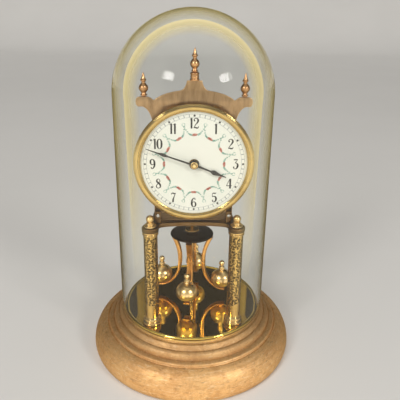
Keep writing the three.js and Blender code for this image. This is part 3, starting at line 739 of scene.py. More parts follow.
def vine_shapes(seed):
    """Ellipses (u, z, length, width, tilt) of scrolling leaves on the unrolled shaft, in mm."""
    draw = random.Random(seed)
    around = 2 * math.pi * SHAFT_R
    shapes = []
    for lane in range(VINE_LANES):
        middle_u = around * lane / VINE_LANES
        z = ETCHED_Z[0] + draw.uniform(0.6, 3.0)
        while z < ETCHED_Z[1] - 1.0:
            side = draw.choice((-1, 1))
            centre_u = middle_u + draw.uniform(-0.7, 0.7)
            start = draw.uniform(0, 6.3)
            for step in range(5):
                turn = start + side * step * 0.72
                u = centre_u + CURL_R * math.cos(turn)
                shapes.append((u, z + CURL_R * math.sin(turn), 0.58, 0.40, turn + math.pi / 2))
            shapes.append((centre_u, z, 0.36, 0.30, 0))
            for _ in range(3):
                tilt = draw.uniform(0, 3.1)
                u = centre_u + draw.uniform(-2.1, 2.1)
                shapes.append((u, z + draw.uniform(0.9, 2.2), draw.uniform(0.5, 0.95), 0.42, tilt))
            z += 2.7 + draw.uniform(-0.4, 0.5)
    return shapes


def etched_shaft(name, x, y, seed):
    """Shaft whose vine leaves are sunk; the vertex attribute "etch" is 1 in them."""
    angle = np.arange(SHAFT_STEPS) * 2 * np.pi / SHAFT_STEPS
    height = np.linspace(*SHAFT_Z, SHAFT_ROWS + 1)
    theta, z = np.meshgrid(angle, height)
    leaf = np.zeros_like(z)
    around = 2 * math.pi * SHAFT_R
    for u0, z0, length, width, tilt in vine_shapes(seed):
        du = (theta * SHAFT_R - u0 + around / 2) % around - around / 2
        dz = z - z0
        along = du * math.cos(tilt) + dz * math.sin(tilt)
        across = dz * math.cos(tilt) - du * math.sin(tilt)
        distance = np.sqrt((along / length) ** 2 + (across / width) ** 2)
        leaf = np.maximum(leaf, np.clip((1.2 - distance) / 0.4, 0, 1))
    border = np.clip((z - ETCHED_Z[0]) / 0.3, 0, 1) * np.clip((ETCHED_Z[1] - z) / 0.3, 0, 1)
    etch = border * leaf
    radius = SHAFT_R - ETCH_DEPTH * etch
    bm = bmesh.new()
    layer = bm.verts.layers.float.new("etch")
    grid = []
    for j, level in enumerate(height):
        ring = [dot(bm, r * math.cos(a), r * math.sin(a), level) for r, a in zip(radius[j], angle)]
        for vert, share in zip(ring, etch[j]):
            vert[layer] = share
        grid.append(ring)
    skin(bm, grid, caps=True)
    shaft = new_object(name, mesh_from(bm, name, 60), (x, y, 0))
    belongs(shaft, ETCHED, "frame")


def make_column(side):
    x, y = COLUMNS[side].x, COLUMNS[side].y
    lower = [
        (0, 36.5), (2.2, 36.5), (2.2, 45.9), (8.2, 45.9), (8.5, 46.4), (8.5, 47.7), (8.2, 48.3),
        (7.2, 48.8), (6.8, 49.4), (7.0, 50.0), (7.9, 50.5), (8.1, 51.1), (7.9, 51.8), (7.0, 52.4),
        (6.7, 52.9), (6.4, 53.4), (6.2, 53.8), (5, 53.8),
    ]
    upper = [
        (5, 138.4), (6.3, 138.4), (6.7, 138.7), (7.1, 139.1), (7.1, 139.7), (6.7, 140.1), (6.4, 140.4),
        (6.6, 140.7), (7.2, 141.0), (7.2, 142), (2.2, 142), (2.2, 149), (0, 149),
    ]
    foot = lathe(f"foot_{side}", lower, (x, y, 0), segments=72, soften=0.18)
    capital = lathe(f"capital_{side}", upper, (x, y, 0), segments=72, soften=0.18)
    stands_for(merged(f"column_ends_{side}", [foot, capital]), BRASS, f"column_{side}")
    etched_shaft(f"column_shaft_{side}", x, y, 5 if side == "left" else 8)

    knob = [
        (0, 149.4), (2.5, 149.4), (2.5, 146.3), (5.2, 146.3), (5.5, 146.8), (5.4, 147.3), (4.6, 147.8),
        (3.3, 148.3), (3.1, 148.8), (3.5, 149.2), (3.5, 149.7), (2.9, 150.1), (2.6, 150.5),
    ]
    knob += arc(0, 153.3, 3.5, -52, 90, 12)
    knob[-1] = (0, 156.8)
    finial = lathe(f"column_knob_{side}", knob, (x, y, 0), segments=64, soften=0.12)
    stands_for(finial, BALL_BRASS, f"column_finial_{side}")
    node = f"column_nut_{side}"
    loops = [circle(x, y, 5, 6), circle(x, y, 2.5, 32)]
    nut = sheet(f"hex_nut_{side}", loops, low(node).z, high(node).z, upright=False, bevel=0.3)
    stands_for(nut, STEEL, node)


# ------------------------------------------------------------------ platform and movement plates
def mirrored(half):
    """Full outline from its right half, which starts and may end on the middle line."""
    other = [(-x, y) for x, y in reversed(half[1:])]
    return list(half) + other


def make_platform():
    x, y = COLUMNS["right"].x, COLUMNS["right"].y
    half = [(0, -31), (6, -31.05), (12, -31.5), (17, -32.05), (22, -32.8), (26, -33.7), (29, -34.8)]
    half += arc(x, y, 7.4, 158, 368, 30)
    half += [(43.6, -34.6), (42.2, -31.4), (40.2, -27.2), (38.2, -22.4), (37.1, -18), (36.3, -8), (36, 2.4),
             (35.4, 3), (9, 3), (8.2, 2.2), (7.4, 0.9), (6, 0)]
    holes = [circle(side * x, y, 2.5, 32) for side in (-1, 1)]
    plate = sheet("pillar_platform", [mirrored(half), *holes], *PLATFORM, upright=False, bevel=0.45)
    stands_for(plate, SHADED_PLATFORM_BRASS, "platform")


# Arbor centres and pillars, (x, z).
BARREL = (0.0, 181.0)
THIRD = (11.54, 214.08)
ESCAPE = (0.0, 222.0)
ANCHOR = (0.0, 236.0)
MINUTE = (-10.0, 203.0)
CLICK = (-14.0, 186.0)
PILLARS = [(-27, 158), (27, 158), (-27, 238), (27, 238)]


def make_front_plate():
    half = [(0, 148.4), (33.9, 148.4), (34.4, 148.9)]
    shoulder = [
        (34.4, 236), (35.1, 240.2), (36.7, 244.5), (38.7, 247.5), (40.8, 249.3), (43.0, 250.0),
        (44.6, 249.9),
    ]
    lobe = [(45.4, 249.9), (46.7, 250.7), (47.6, 252.7), (47.6, 255.2), (46.6, 257.1), (44.6, 257.95)]
    neck = [(38.2, 257.95), (37.0, 257.7), (35.2, 256.7), (33.4, 255.3)]
    sweep = [
        (32.6, 255.4), (30, 257.3), (24.4, 260), (17.6, 261.9), (11.6, 263), (9.2, 264.2), (7.6, 266.4),
        (6.6, 268.8), (6.2, 271),
    ]
    for stretch in (shoulder, lobe, neck, sweep):
        half += curved(stretch, 4)
    holes = [circle(*p, 1.6, 24) for p in PILLARS]
    holes += [circle(*p, 1.1, 20) for p in (THIRD, ESCAPE, ANCHOR, MINUTE)]
    holes += [circle(*DIAL_CENTRE, 1.7, 24), circle(*BARREL, 2.5, 24)]
    plate = sheet("cresting_plate", [mirrored(half), *holes], *FRONT_PLATE, bevel=0.42)
    stands_for(plate, CREST, "front_plate")


def make_back_plate():
    half = [(0, 148.4), (33.8, 148.4), (34.4, 149), (34.4, 235.6), (34.1, 236.6), (29.6, 245.4), (28.8, 246)]
    holes = [circle(*p, 1.6, 24) for p in PILLARS]
    holes += [circle(*p, 1.1, 20) for p in (THIRD, ESCAPE, ANCHOR, CLICK)]
    holes += [circle(*DIAL_CENTRE, 1.7, 24), circle(*BARREL, 2.5, 24)]
    plate = sheet("rear_movement_plate", [mirrored(half), *holes], *BACK_PLATE, bevel=0.25)
    stands_for(plate, PLATE_BRASS, "back_plate")


PRESS = 0.02  # gap under a screw head


def make_pillars():
    front, rear = FRONT_PLATE[1], BACK_PLATE[0]
    for number, centre in enumerate(PILLARS, 1):
        profile = [
            (0, FRONT_PLATE[0]), (1.3, FRONT_PLATE[0]), (1.3, front + 0.3), (3, front + 0.3), (3, front + 2),
            (2.3, front + 3), (2.6, front + 4), (2.2, front + 5.2), (2.2, rear - 5.2), (2.6, rear - 4),
            (2.3, rear - 3), (3, rear - 2), (3, rear - 0.3), (1.3, rear - 0.3), (1.3, BACK_PLATE[1]),
            (0, BACK_PLATE[1]),
        ]
        post = lathe_y(f"turned_pillar_{number}", profile, centre, 40, 0.25)
        stands_for(post, BRASS, f"pillar_{number}")
        screw_head(f"pillar_screw_{number}", centre, BACK_PLATE[1] + PRESS, 1.9, 1.1, 25 * number)


def screw_head(name, centre, y, radius, height, turn, towards=1):
    """Domed, slotted screw head on a face at y; towards is the side that it stands out on."""
    bm = bmesh.new()
    dome = [(1, 0.0), (1, 0.45), (0.93, 0.72), (0.75, 0.92), (0.4, 1)]
    skin(bm, [[dot(bm, px, pz, h * height) for px, pz in circle(0, 0, r * radius, 40)] for r, h in dome],
         caps=True)
    body = new_object(name, mesh_from(bm, name))
    half_slot = radius * 0.14
    cutter = block(f"{name}_slot", (-radius * 1.2, radius * 1.2), (-half_slot, half_slot),
                   (height * 0.45, height * 1.5), bevel=0.02, segments=1)
    cut = body.modifiers.new("slot", "BOOLEAN")
    cut.operation = "DIFFERENCE"
    cut.solver = "EXACT"
    cut.object = cutter
    bpy.context.view_layer.update()
    ready = bpy.data.meshes.new_from_object(body.evaluated_get(bpy.context.evaluated_depsgraph_get()))
    bpy.data.objects.remove(cutter)
    bpy.data.objects.remove(body)
    bm = bmesh.new()
    bm.from_mesh(ready)
    facing = Matrix.Rotation(math.radians(-90 if towards > 0 else 90), 3, "X")
    turned = facing @ Matrix.Rotation(math.radians(turn), 3, "Z")
    head = new_object(name, mesh_from(bm, name), (centre[0], y, centre[1]), turned)
    belongs(head, STEEL, "frame")


BRACKET_X = 31.5


def make_brackets():
    foot_z = PLATFORM[1] + 0.3
    for side, label in ((-1, "left"), (1, "right")):
        node = f"bracket_{label}"
        front, rear = low(node).y, high(node).y
        profile = [
            (front, foot_z), (rear, foot_z), (rear, 155.5), (rear - 0.5, 156), (BACK_PLATE[1] + 0.3, 156),
            (BACK_PLATE[1] + 0.3, foot_z + 2.3), (BACK_PLATE[1] - 0.5, foot_z + 1.5),
            (FRONT_PLATE[0] + 0.5, foot_z + 1.5), (FRONT_PLATE[0] - 0.3, foot_z + 2.3),
            (FRONT_PLATE[0] - 0.3, 157.8), (front + 0.5, 157.8), (front, 157.2),
        ]
        channel = sheet(f"plate_channel_{label}", [profile], -2.5, 2.5, bevel=0.3)
        swing = Matrix.Rotation(math.pi / 2, 4, "Z")
        place = Matrix.Translation((side * BRACKET_X * MM, 0, 0))
        channel.matrix_world = place @ swing @ channel.matrix_world
        # The channels take the platform's darkened brass: painted shade.
        stands_for(channel, SHADED_PLATFORM_BRASS, node)
        centre = (side * BRACKET_X, 153.4)
        screw_head(f"channel_screw_{label}", centre, front - PRESS, 1.7, 1.0, 30 * side, towards=-1)


# ------------------------------------------------------------------ cresting finials
FINIAL_H = 19
FINIAL_R = 3.8


def finial_profile(bottom):
    """Ball, collar and spike, (radius, height)."""
    shape = [
        (0.50, 0), (0.56, 0.015), (0.72, 0.04), (0.72, 0.07), (0.55, 0.095), (0.50, 0.125), (0.50, 0.155),
        (0.62, 0.19), (0.80, 0.235), (0.94, 0.285), (1, 0.34), (0.98, 0.39), (0.88, 0.44), (0.70, 0.49),
        (0.50, 0.53), (0.40, 0.56), (0.38, 0.60), (0.44, 0.63), (0.64, 0.655), (0.66, 0.685),
        (0.56, 0.705), (0.46, 0.73), (0.38, 0.77), (0.31, 0.82), (0.25, 0.87), (0.18, 0.925), (0.10, 0.97),
        (0, 1),
    ]
    return [(k * FINIAL_R, bottom + h * FINIAL_H) for k, h in shape]


def make_finials():
    for label in ("centre", "left", "right"):
        node = f"finial_{label}"
        bottom = low(node).z
        place = middle(node)
        profile = [(0, bottom)]
        if label == "centre":
            socket = [
                (3.9, 0), (3.9, 0.9), (3.3, 1.3), (3.2, 1.8), (3.5, 2.3), (3.6, 3.1), (3.3, 3.6),
                (3.2, 4.4), (3.6, 4.8), (3.8, 5.3), (3.5, 5.9), (2.6, 6.2),
            ]
            profile += [(r, bottom + z) for r, z in socket]
            bottom += 6.2
        profile += finial_profile(bottom)
        spire = lathe(f"spire_{label}", profile, (place.x, place.y, 0), segments=56, soften=0.1)
        stands_for(spire, COPPER, node)


# ------------------------------------------------------------------ dial
NUMERAL_H = 8.7
NUMERAL_R = 34.9
TRACK_R = (39.9, 42.5)
PRINT_T = 0.05
R = 44.7  # visible radius of the enamel

# Strokes of each figure: (x, y, pen width) in units of the figure's height, from its lower middle.
FIGURES = {
    "0": [
        [(0, .985, .03), (-.15, .84, .1), (-.2, .5, .15), (-.15, .16, .1), (0, .015, .03), (.15, .16, .1),
         (.2, .5, .15), (.15, .84, .1), (0, .985, .03)],
    ],
    "1": [
        [(.03, 1, .13), (.03, .7, .135), (.03, .3, .135), (.03, 0, .13)],
        [(-.13, .87, .02), (-.04, .92, .04), (.02, .985, .05)],
    ],
    "2": [
        [(-.16, .72, .02), (-.21, .8, .04), (-.15, .92, .05), (0, .985, .05), (.14, .9, .1),
         (.19, .75, .14), (.11, .56, .1), (-.06, .34, .05), (-.21, .09, .04)],
        [(-.22, .05, .03), (-.1, .095, .08), (.06, .055, .11), (.18, .06, .07), (.235, .22, .025)],
    ],
    "3": [
        [(-.19, .94, .06), (0, .955, .075), (.19, .97, .05)],
        [(.19, .97, .03), (.08, .8, .03), (-.04, .62, .035)],
        [(-.04, .62, .03), (.1, .6, .07), (.2, .46, .13), (.2, .26, .15), (.11, .07, .09),
         (-.04, .015, .05), (-.17, .08, .035), (-.2, .19, .03)],
    ],
    "4": [
        [(.09, 1, .13), (.09, .7, .135), (.09, .3, .135), (.09, 0, .13)],
        [(.06, .985, .05), (-.12, .62, .035), (-.27, .27, .03)],
        [(-.28, .265, .045), (0, .265, .045), (.26, .265, .045)],
        [(-.03, .015, .03), (.09, .015, .04), (.21, .015, .03)],
    ],
    "5": [
        [(-.15, .92, .05), (-.02, .955, .09), (.12, .93, .08), (.2, 1, .03)],
        [(-.155, .94, .03), (-.165, .75, .03), (-.17, .56, .03)],
        [(-.17, .56, .03), (-.02, .62, .06), (.14, .55, .11), (.2, .36, .15), (.16, .14, .12),
         (.02, .015, .05), (-.13, .06, .04), (-.18, .17, .03)],
    ],
    "6": [
        [(.15, .86, .03), (.06, .975, .045), (-.08, .9, .08), (-.18, .68, .13), (-.2, .38, .15),
         (-.15, .14, .11), (0, .015, .045), (.15, .12, .1), (.19, .31, .13), (.13, .5, .08),
         (0, .575, .045), (-.12, .48, .03)],
    ],
    "7": [
        [(-.2, .8, .03), (-.19, .92, .05), (-.07, .965, .1), (.07, .91, .1), (.17, .93, .05),
         (.21, .99, .03)],
        [(.2, .97, .03), (.1, .72, .05), (.01, .46, .09), (-.05, .22, .13), (-.06, 0, .14)],
    ],
    "8": [
        [(.13, .88, .04), (0, .985, .04), (-.14, .88, .09), (-.13, .7, .13), (.02, .55, .14),
         (.16, .38, .14), (.18, .15, .09), (0, .015, .04)],
        [(0, .015, .04), (-.17, .1, .06), (-.2, .27, .06), (-.1, .44, .04), (.08, .6, .04),
         (.15, .76, .05), (.13, .88, .04)],
    ],
}
FIGURES["9"] = [[(-x, 1 - y, w) for x, y, w in stroke] for stroke in FIGURES["6"]]
# Ink dots that end some strokes: (x, y, radius).
DOTS = {"2": [(-.15, .75, .07)], "3": [(-.165, .19, .07)], "5": [(-.14, .17, .07)], "6": [(.12, .85, .06)],
        "9": [(-.12, .15, .06)]}
SPACING = {"10": (-0.29, 0.17), "11": (-0.20, 0.14), "12": (-0.31, 0.15)}


def ribbon(bm, left, right, thickness=PRINT_T, closed=False):
    """Thin raised band on the enamel between two lines of (x, z) points."""
    top, foot = DIAL_FACE - thickness, DIAL_FACE
    rows = []
    for a, b in zip(left, right):
        corners = ((a, top), (b, top), (b, foot), (a, foot))
        rows.append([dot(bm, x, y, z) for (x, z), y in corners])
    skin(bm, rows, around=closed, caps=not closed)


def pen_stroke(bm, stroke):
    """Band along a flowing line whose width changes as a pen's does."""
    line = flowing(stroke, 5)
    left, right = [], []
    for i, point in enumerate(line):
        ahead = line[min(i + 1, len(line) - 1)] - line[max(i - 1, 0)]
        side = Vector((-ahead.y, ahead.x)).normalized() * (0.16 + 1.12 * point.z) / 2
        left.append((point.x + side.x, point.y + side.y))
        right.append((point.x - side.x, point.y - side.y))
    ribbon(bm, left, right)


def blob(bm, cx, cz, length, width, tilt, lift=0.0, steps=12):
    """Small flat ellipse on the enamel; lift raises one above another."""
    y = DIAL_FACE - lift
    front, back = [], []
    for u, v in circle(0, 0, 1, steps):
        px = cx + u * length * math.cos(tilt) - v * width * math.sin(tilt)
        pz = cz + u * length * math.sin(tilt) + v * width * math.cos(tilt)
        front.append(dot(bm, px, y - PRINT_T, pz))
        back.append(dot(bm, px, y, pz))
    skin(bm, [front, back], caps=True)


def printed(name, bm, material):
    belongs(new_object(name, mesh_from(bm, name, 30)), material, "frame")


def clock_point(hours, radius):
    """(x, z) at that hour of the dial."""
    a = hours * math.pi / 6
    return DIAL_CENTRE[0] + radius * math.sin(a), DIAL_CENTRE[1] + radius * math.cos(a)


def make_numerals():
    bm = bmesh.new()
    for hour in range(1, 13):
        text = str(hour)
        cx, cz = clock_point(hour, NUMERAL_R)

        def placed(x, y, offset):
            return cx + (x + offset) * NUMERAL_H, cz + (y - 0.5) * NUMERAL_H

        for figure, offset in zip(text, SPACING.get(text, (0.0,))):
            for stroke in FIGURES[figure]:
                pen_stroke(bm, [(*placed(x, y, offset), w * NUMERAL_H) for x, y, w in stroke])
            for x, y, r in DOTS.get(figure, []):
                blob(bm, *placed(x, y, offset), r * NUMERAL_H, r * NUMERAL_H, 0, steps=16)
    printed("dial_numerals", bm, INK)


def make_track():
    """Two fine circles with a tick for each minute and an eight-pointed star for each hour."""
    bm = bmesh.new()
    steps = 180
    for radius in TRACK_R:
        inner, outer = (
            [clock_point(12 * i / steps, radius + side * 0.10) for i in range(steps)] for side in (-1, 1)
        )
        ribbon(bm, inner, outer, closed=True)
    for minute in range(60):
        if minute % 5:
            ends = (TRACK_R[0] + 0.15, TRACK_R[1] - 0.15)
            lines = [[clock_point(minute / 5 + side * 0.012, radius) for radius in ends] for side in (-1, 1)]
            ribbon(bm, *lines)
    printed("minute_track", bm, TRACK_INK)
    bm = bmesh.new()
    for hour in range(12):
        centre = clock_point(hour, sum(TRACK_R) / 2)
        for ray in range(4):
            tilt = (ray / 4 - hour / 6) * math.pi
            blob(bm, *centre, 1.05, 0.30, tilt, lift=0.01 * ray, steps=10)
    printed("hour_stars", bm, INK)


SWAG_END_R = 0.74 * R
SWAG_MID_R = 0.565 * R
ROSE_SHARE = 0.30  # middle share of a garland, without leaves


def swag_line(hour, t):
    """(x, z) of a garland at t from -1 to 1."""
    radius = SWAG_MID_R + (SWAG_END_R - SWAG_MID_R) * abs(t) ** 4.2
    return clock_point(hour + 0.5 * t, radius)


def leafy_stem(bm, hour, draw):
    count = 22
    for i in range(count + 1):
        t = -1 + 2 * i / count
        if abs(t) < ROSE_SHARE:
            continue
        x, z = swag_line(hour, t)
        ahead = Vector(swag_line(hour, t + 0.02)) - Vector((x, z))
        size = 1.55 - 0.75 * abs(t)
        for side in (-1, 1):
            lean = math.atan2(ahead.y, ahead.x) + side * (0.65 + draw.uniform(-0.15, 0.15))
            place = (x + 0.42 * math.cos(lean), z + 0.42 * math.sin(lean))
            blob(bm, *place, size * 0.72, size * 0.30, lean, lift=draw.uniform(0, 0.02), steps=10)
    line = [swag_line(hour, -1 + 2 * i / 40) for i in range(41)]
    ribbon(bm, [(x, z + 0.13) for x, z in line], [(x, z - 0.13) for x, z in line], 0.03)


def rose_bunch(roses, buds, hour, draw):
    for k in range(7):
        t = -0.26 + 0.52 * k / 6
        x, z = swag_line(hour, t)
        wide = 1.25 - 1.1 * abs(t)
        place = (x + draw.uniform(-.15, .15), z + draw.uniform(-.2, .2))
        blob(roses, *place, wide, wide * 0.8, draw.uniform(0, 3), lift=0.01 + 0.004 * k, steps=14)
        for _ in range(3):
            place = (x + draw.uniform(-.5, .5), z + draw.uniform(-.5, .5))
            blob(buds, *place, 0.30, 0.16, draw.uniform(0, 3), lift=0.045, steps=8)


def tendrils(bm, hour):
    """Loose ends where two garlands meet, half an hour past that hour."""
    meeting = hour + 0.5
    for side in (-1, 1):
        start = clock_point(meeting, SWAG_END_R - 0.4)
        bend = clock_point(meeting + side * 0.07, SWAG_END_R + 1.7)
        tip = clock_point(meeting + side * 0.02, SWAG_END_R + 3.0)
        pen_stroke(bm, [(*start, 0.22), (*bend, 0.30), (*tip, 0.12)])
    blob(bm, *clock_point(meeting, SWAG_END_R - 2.0), 0.85, 0.3, (3 - meeting) * math.pi / 6, steps=10)


def make_garlands():
    draw = random.Random(11)
    leaves, roses, buds = bmesh.new(), bmesh.new(), bmesh.new()
    for hour in range(1, 13):
        leafy_stem(leaves, hour, draw)
        rose_bunch(roses, buds, hour, draw)
        tendrils(leaves, hour)
    printed("garland_leaves", leaves, LEAF_PAINT)
    printed("garland_roses", roses, ROSE_PAINT)
    printed("garland_buds", buds, BUD_PAINT)


def make_dial():
    back = DIAL_BACK
    face = [
        (4.2, back), (4.2, DIAL_FACE + 0.25), (4.5, DIAL_FACE), (44.9, DIAL_FACE), (45.8, DIAL_FACE + 0.15),
        (46.6, DIAL_FACE + 0.5), (46.6, back),
    ]
    disc = lathe_y("enamel_dial", face, DIAL_CENTRE, 192, 0.1, closed=True)
    stands_for(disc, ENAMEL, "dial")
    ring = [
        (47, -36.4), (47, -38.2), (45.1, -38.35), (44.75, -38.6), (44.7, -39.0), (44.85, -39.45),
        (45.25, -39.7), (45.6, -39.75), (45.8, -40.0), (46.4, -40.3), (47.3, -40.45), (48.3, -40.4),
        (49.2, -40.1), (49.75, -39.7), (49.85, -39.45), (50.1, -39.4), (50.5, -39.1), (50.75, -38.6),
        (50.75, -38.1), (50.45, -37.7), (49.9, -37.5), (48.6, -37.3), (48.2, -36.9), (48.2, -31.8),
        (47.2, -31.8),
    ]
    bezel = lathe_y("polished_bezel", ring, DIAL_CENTRE, 192, 0.12, closed=True)
    stands_for(bezel, BEZEL_BRASS, "bezel")
    make_numerals()
    make_track()
    make_garlands()


# ------------------------------------------------------------------ hands
def hand_outline(side, collar_radius):
    """Outline from the right edge of the blade, (half width, distance), and the round collar."""
    start = math.degrees(math.atan2(side[0][1], side[0][0]))
    collar = arc(0, 0, collar_radius, start, -180 - start, 40)
    return side[::-1] + collar + [(-x, z) for x, z in side]


def place_hand(name, side, collar_radius, hole_radius, node, turn):
    outline = hand_outline(side, collar_radius)
    hand = sheet(name, [outline, circle(0, 0, hole_radius, 32)], low(node).y, high(node).y, bevel=0.16)
    swing = Matrix.Rotation(math.radians(turn), 4, "Y")
    place = Matrix.Translation(Vector((DIAL_CENTRE[0], 0, DIAL_CENTRE[1])) * MM)
    hand.matrix_world = place @ swing @ hand.matrix_world
    stands_for(hand, HAND_PAINT, node)


HOUR_TURN = 112.5  # degrees past twelve
MINUTE_TURN = 289.4


def make_hands():
    hour = [
        (0.95, 3.88), (0.8, 8), (0.68, 12), (0.62, 14.4), (0.8, 15.2), (1.4, 16.2), (1.95, 17.4),
        (2.05, 18.4), (1.85, 19.5), (1.45, 20.8), (1.05, 22.4), (0.8, 24.4), (0.55, 26.8), (0.32, 29.1),
        (0.22, 29.4),
    ]
    minute = [
        (0.85, 3.18), (0.75, 9), (0.66, 16), (0.6, 22.6), (0.75, 23.6), (1.15, 25.3), (1.4, 27.2),
        (1.2, 28.8), (0.8, 30.4), (0.58, 31.6), (0.48, 35), (0.36, 39), (0.26, 41.7), (0.18, 41.95),
    ]
    place_hand("hour_pointer", hour, 4, 2.7, "hour_hand", HOUR_TURN)
    place_hand("minute_pointer", minute, 3.3, 1.1, "minute_hand", MINUTE_TURN)
    nut = [
        (0, -44.4), (0.9, -44.36), (1.3, -44.25), (1.6, -44.0), (1.9, -43.5), (1.9, -42.3), (1.1, -42.3),
        (1.1, -43.3), (0, -43.3),
    ]
    stands_for(lathe_y("hand_nut_turned", nut, DIAL_CENTRE, 48, 0.1), BALL_BRASS, "hand_nut")
    collet = [
        (2.15, -42.05), (2.95, -42.05), (3.05, -42.3), (2.95, -42.75), (2.6, -42.95), (2.3, -42.8),
        (2.2, -42.3),
    ]
    ring = lathe_y("hand_collet", collet, DIAL_CENTRE, 64, 0.1, closed=True)
    belongs(ring, BALL_BRASS, "minute")


# ------------------------------------------------------------------ wheels
BARREL_TEETH, WHEEL_TEETH, PINION_TEETH = 36, 32, 8
MINUTE_TEETH, HOUR_TEETH, ESCAPE_TEETH = 24, 32, 15
BARREL_MODULE, CENTRE_MODULE, THIRD_MODULE, CANNON_MODULE, HOUR_MODULE = 1, 0.8, 0.7, 0.625, 0.5
ARBOR_R = 0.8
BORE_R = 1.1


def meshed_phase(driver_phase, driver_teeth, start, end, teeth):
    """Turn at which a wheel's gaps meet the teeth of its driver."""
    line = math.atan2(end[1] - start[1], end[0] - start[0])
    turn = (line - driver_phase) * driver_teeth / (2 * math.pi)
    return line + math.pi + (turn - 0.5) * 2 * math.pi / teeth


BARREL_PHASE = meshed_phase(0, PINION_TEETH, DIAL_CENTRE, BARREL, BARREL_TEETH)
THIRD_PHASE = meshed_phase(0, WHEEL_TEETH, DIAL_CENTRE, THIRD, PINION_TEETH)
ESCAPE_PHASE = meshed_phase(THIRD_PHASE, WHEEL_TEETH, THIRD, ESCAPE, PINION_TEETH)
MINUTE_PHASE = meshed_phase(0, PINION_TEETH, DIAL_CENTRE, MINUTE, MINUTE_TEETH)
HOUR_PHASE = meshed_phase(MINUTE_PHASE, PINION_TEETH, MINUTE, DIAL_CENTRE, HOUR_TEETH)


def tooth_loop(teeth, module, phase):
    pitch = teeth * module / 2
    tip, root = pitch + 0.7 * module, pitch - 0.95 * module
    step = 2 * math.pi / teeth
    flank = [(root, -.25), (root + (tip - root) * .45, -.19), (root + (tip - root) * .8, -.13), (tip, -.06)]
    points = []
    for i in range(teeth):
        for r, side in flank + [(r, -side) for r, side in reversed(flank)]:
            a = phase + (i + side) * step
            points.append((r * math.cos(a), r * math.sin(a)))
    return points


def windows(inner, outer, spokes, width):
    """Openings between the spokes of a wheel."""
    loops = []
    for i in range(spokes):
        start, end = 360 * i / spokes, 360 * (i + 1) / spokes
        wide = math.degrees(width / 2 / outer)
        tight = math.degrees(width / 2 / inner)
        far = arc(0, 0, outer, start + wide, end - wide, 14)
        near = arc(0, 0, inner, end - tight, start + tight, 8)
        loops.append(softened(far + near, 0.5, 2, closed=True))
    return loops


def wheel(name, teeth, module, phase, centre, start, end, hole, crossings=None):
    loops = [tooth_loop(teeth, module, phase), circle(0, 0, hole, 28)]
    if crossings:
        loops += windows(*crossings)
    return sheet(name, loops, start, end, bevel=0.08, at=centre)


def rod(name, centre, radius, start, end):
    return lathe_y(name, [(0, start), (radius, start), (radius, end), (0, end)], centre, 32, 0.15)


def tube(name, bore, radius, start, end):
    """Pipe on the line of the hands."""
    profile = [(bore, start), (radius, start), (radius, end), (bore, end)]
    return lathe_y(name, profile, DIAL_CENTRE, 40, 0.1, closed=True)


def pinion(name, module, phase, centre, start, end, hole=0.5):
    return wheel(name, PINION_TEETH, module, phase, centre, start, end, hole)


def arbor(name, node, centre, ends, module, phase, leaves, collet):
    """Steel arbor with its pinion and the collet of its wheel; the last two pairs are their ends."""
    parts = [
        rod(f"{name}_shaft", centre, ARBOR_R, *ends),
        pinion(f"{name}_pinion", module, phase, centre, *leaves),
        rod(f"{name}_collet", centre, 2.2, *collet),
    ]
    stands_for(merged(name, parts), STEEL, node)


def saw_loop(teeth, tip, root):
    """Outline with pointed one-way teeth, for the escape wheel and the ratchet."""
    points = []
    for i in range(teeth):
        for share, radius in ((0, tip), (0.05, tip), (0.16, root), (0.55, root + (tip - root) * 0.32)):
            a = 2 * math.pi * (i + share) / teeth
            points.append((radius * math.cos(a), radius * math.sin(a)))
    return points


def make_train():
    centre = DIAL_CENTRE
    arbor("centre_arbor", "minute_arbor", centre, (-43, -0.2), BARREL_MODULE, 0, (-25.8, -22.6),
          (-26.9, -25.7))
    disc = wheel("centre_wheel_crossed", WHEEL_TEETH, CENTRE_MODULE, 0, centre, -28.5, -27.2, BORE_R,
                 (3.6, 9.8, 4, 1.6))
    stands_for(disc, WHEEL_BRASS, "centre_wheel")
    arbor("third_arbor_cut", "third_arbor", THIRD, (-31.3, -0.2), CENTRE_MODULE, THIRD_PHASE,
          (-28.9, -26.8), (-21.4, -20.3))
    disc = wheel("third_wheel_crossed", WHEEL_TEETH, THIRD_MODULE, THIRD_PHASE, THIRD, -20, -18.8, BORE_R,
                 (3.4, 8.4, 4, 1.5))
    stands_for(disc, WHEEL_BRASS, "third_wheel")
    arbor("escape_arbor_cut", "escape_arbor", ESCAPE, (-31.3, -0.2), THIRD_MODULE, ESCAPE_PHASE,
          (-20.4, -18.4), (-13.4, -12.3))
    loops = [saw_loop(ESCAPE_TEETH, 8.5, 6.4), circle(0, 0, BORE_R, 28), *windows(2.6, 5.3, 4, 1.1)]
    disc = sheet("escape_wheel_cut", loops, -12, -10.8, bevel=0.06, at=ESCAPE)
    stands_for(disc, WHEEL_BRASS, "escape_wheel")

    cannon = merged("cannon_pipe", [
        tube("cannon_tube", 1.1, 1.6, -41, -32),
        pinion("cannon_leaves", CANNON_MODULE, 0, centre, -33.6, -32, 1.4),
    ])
    stands_for(cannon, STEEL, "cannon_pinion")
    hour = merged("hour_pipe", [
        tube("hour_tube", 1.9, 2.4, -40.4, -34.4),
        wheel("hour_disc", HOUR_TEETH, HOUR_MODULE, HOUR_PHASE, centre, -35.4, -34.4, 2.2),
    ])
    stands_for(hour, WHEEL_BRASS, "hour_wheel")
    minute = merged("minute_wheel_cut", [
        wheel("minute_disc", MINUTE_TEETH, CANNON_MODULE, MINUTE_PHASE, MINUTE, -33.4, -32.2, 0.6),
        pinion("minute_leaves", HOUR_MODULE, MINUTE_PHASE, MINUTE, -35.6, -33),
        rod("minute_post", MINUTE, ARBOR_R, -36.2, -29.8),
    ])
    stands_for(minute, WHEEL_BRASS, "minute_wheel")


SPRING_TURNS = 4
SPRING_R = (4.4, 13.4)
SPRING_T = 0.8


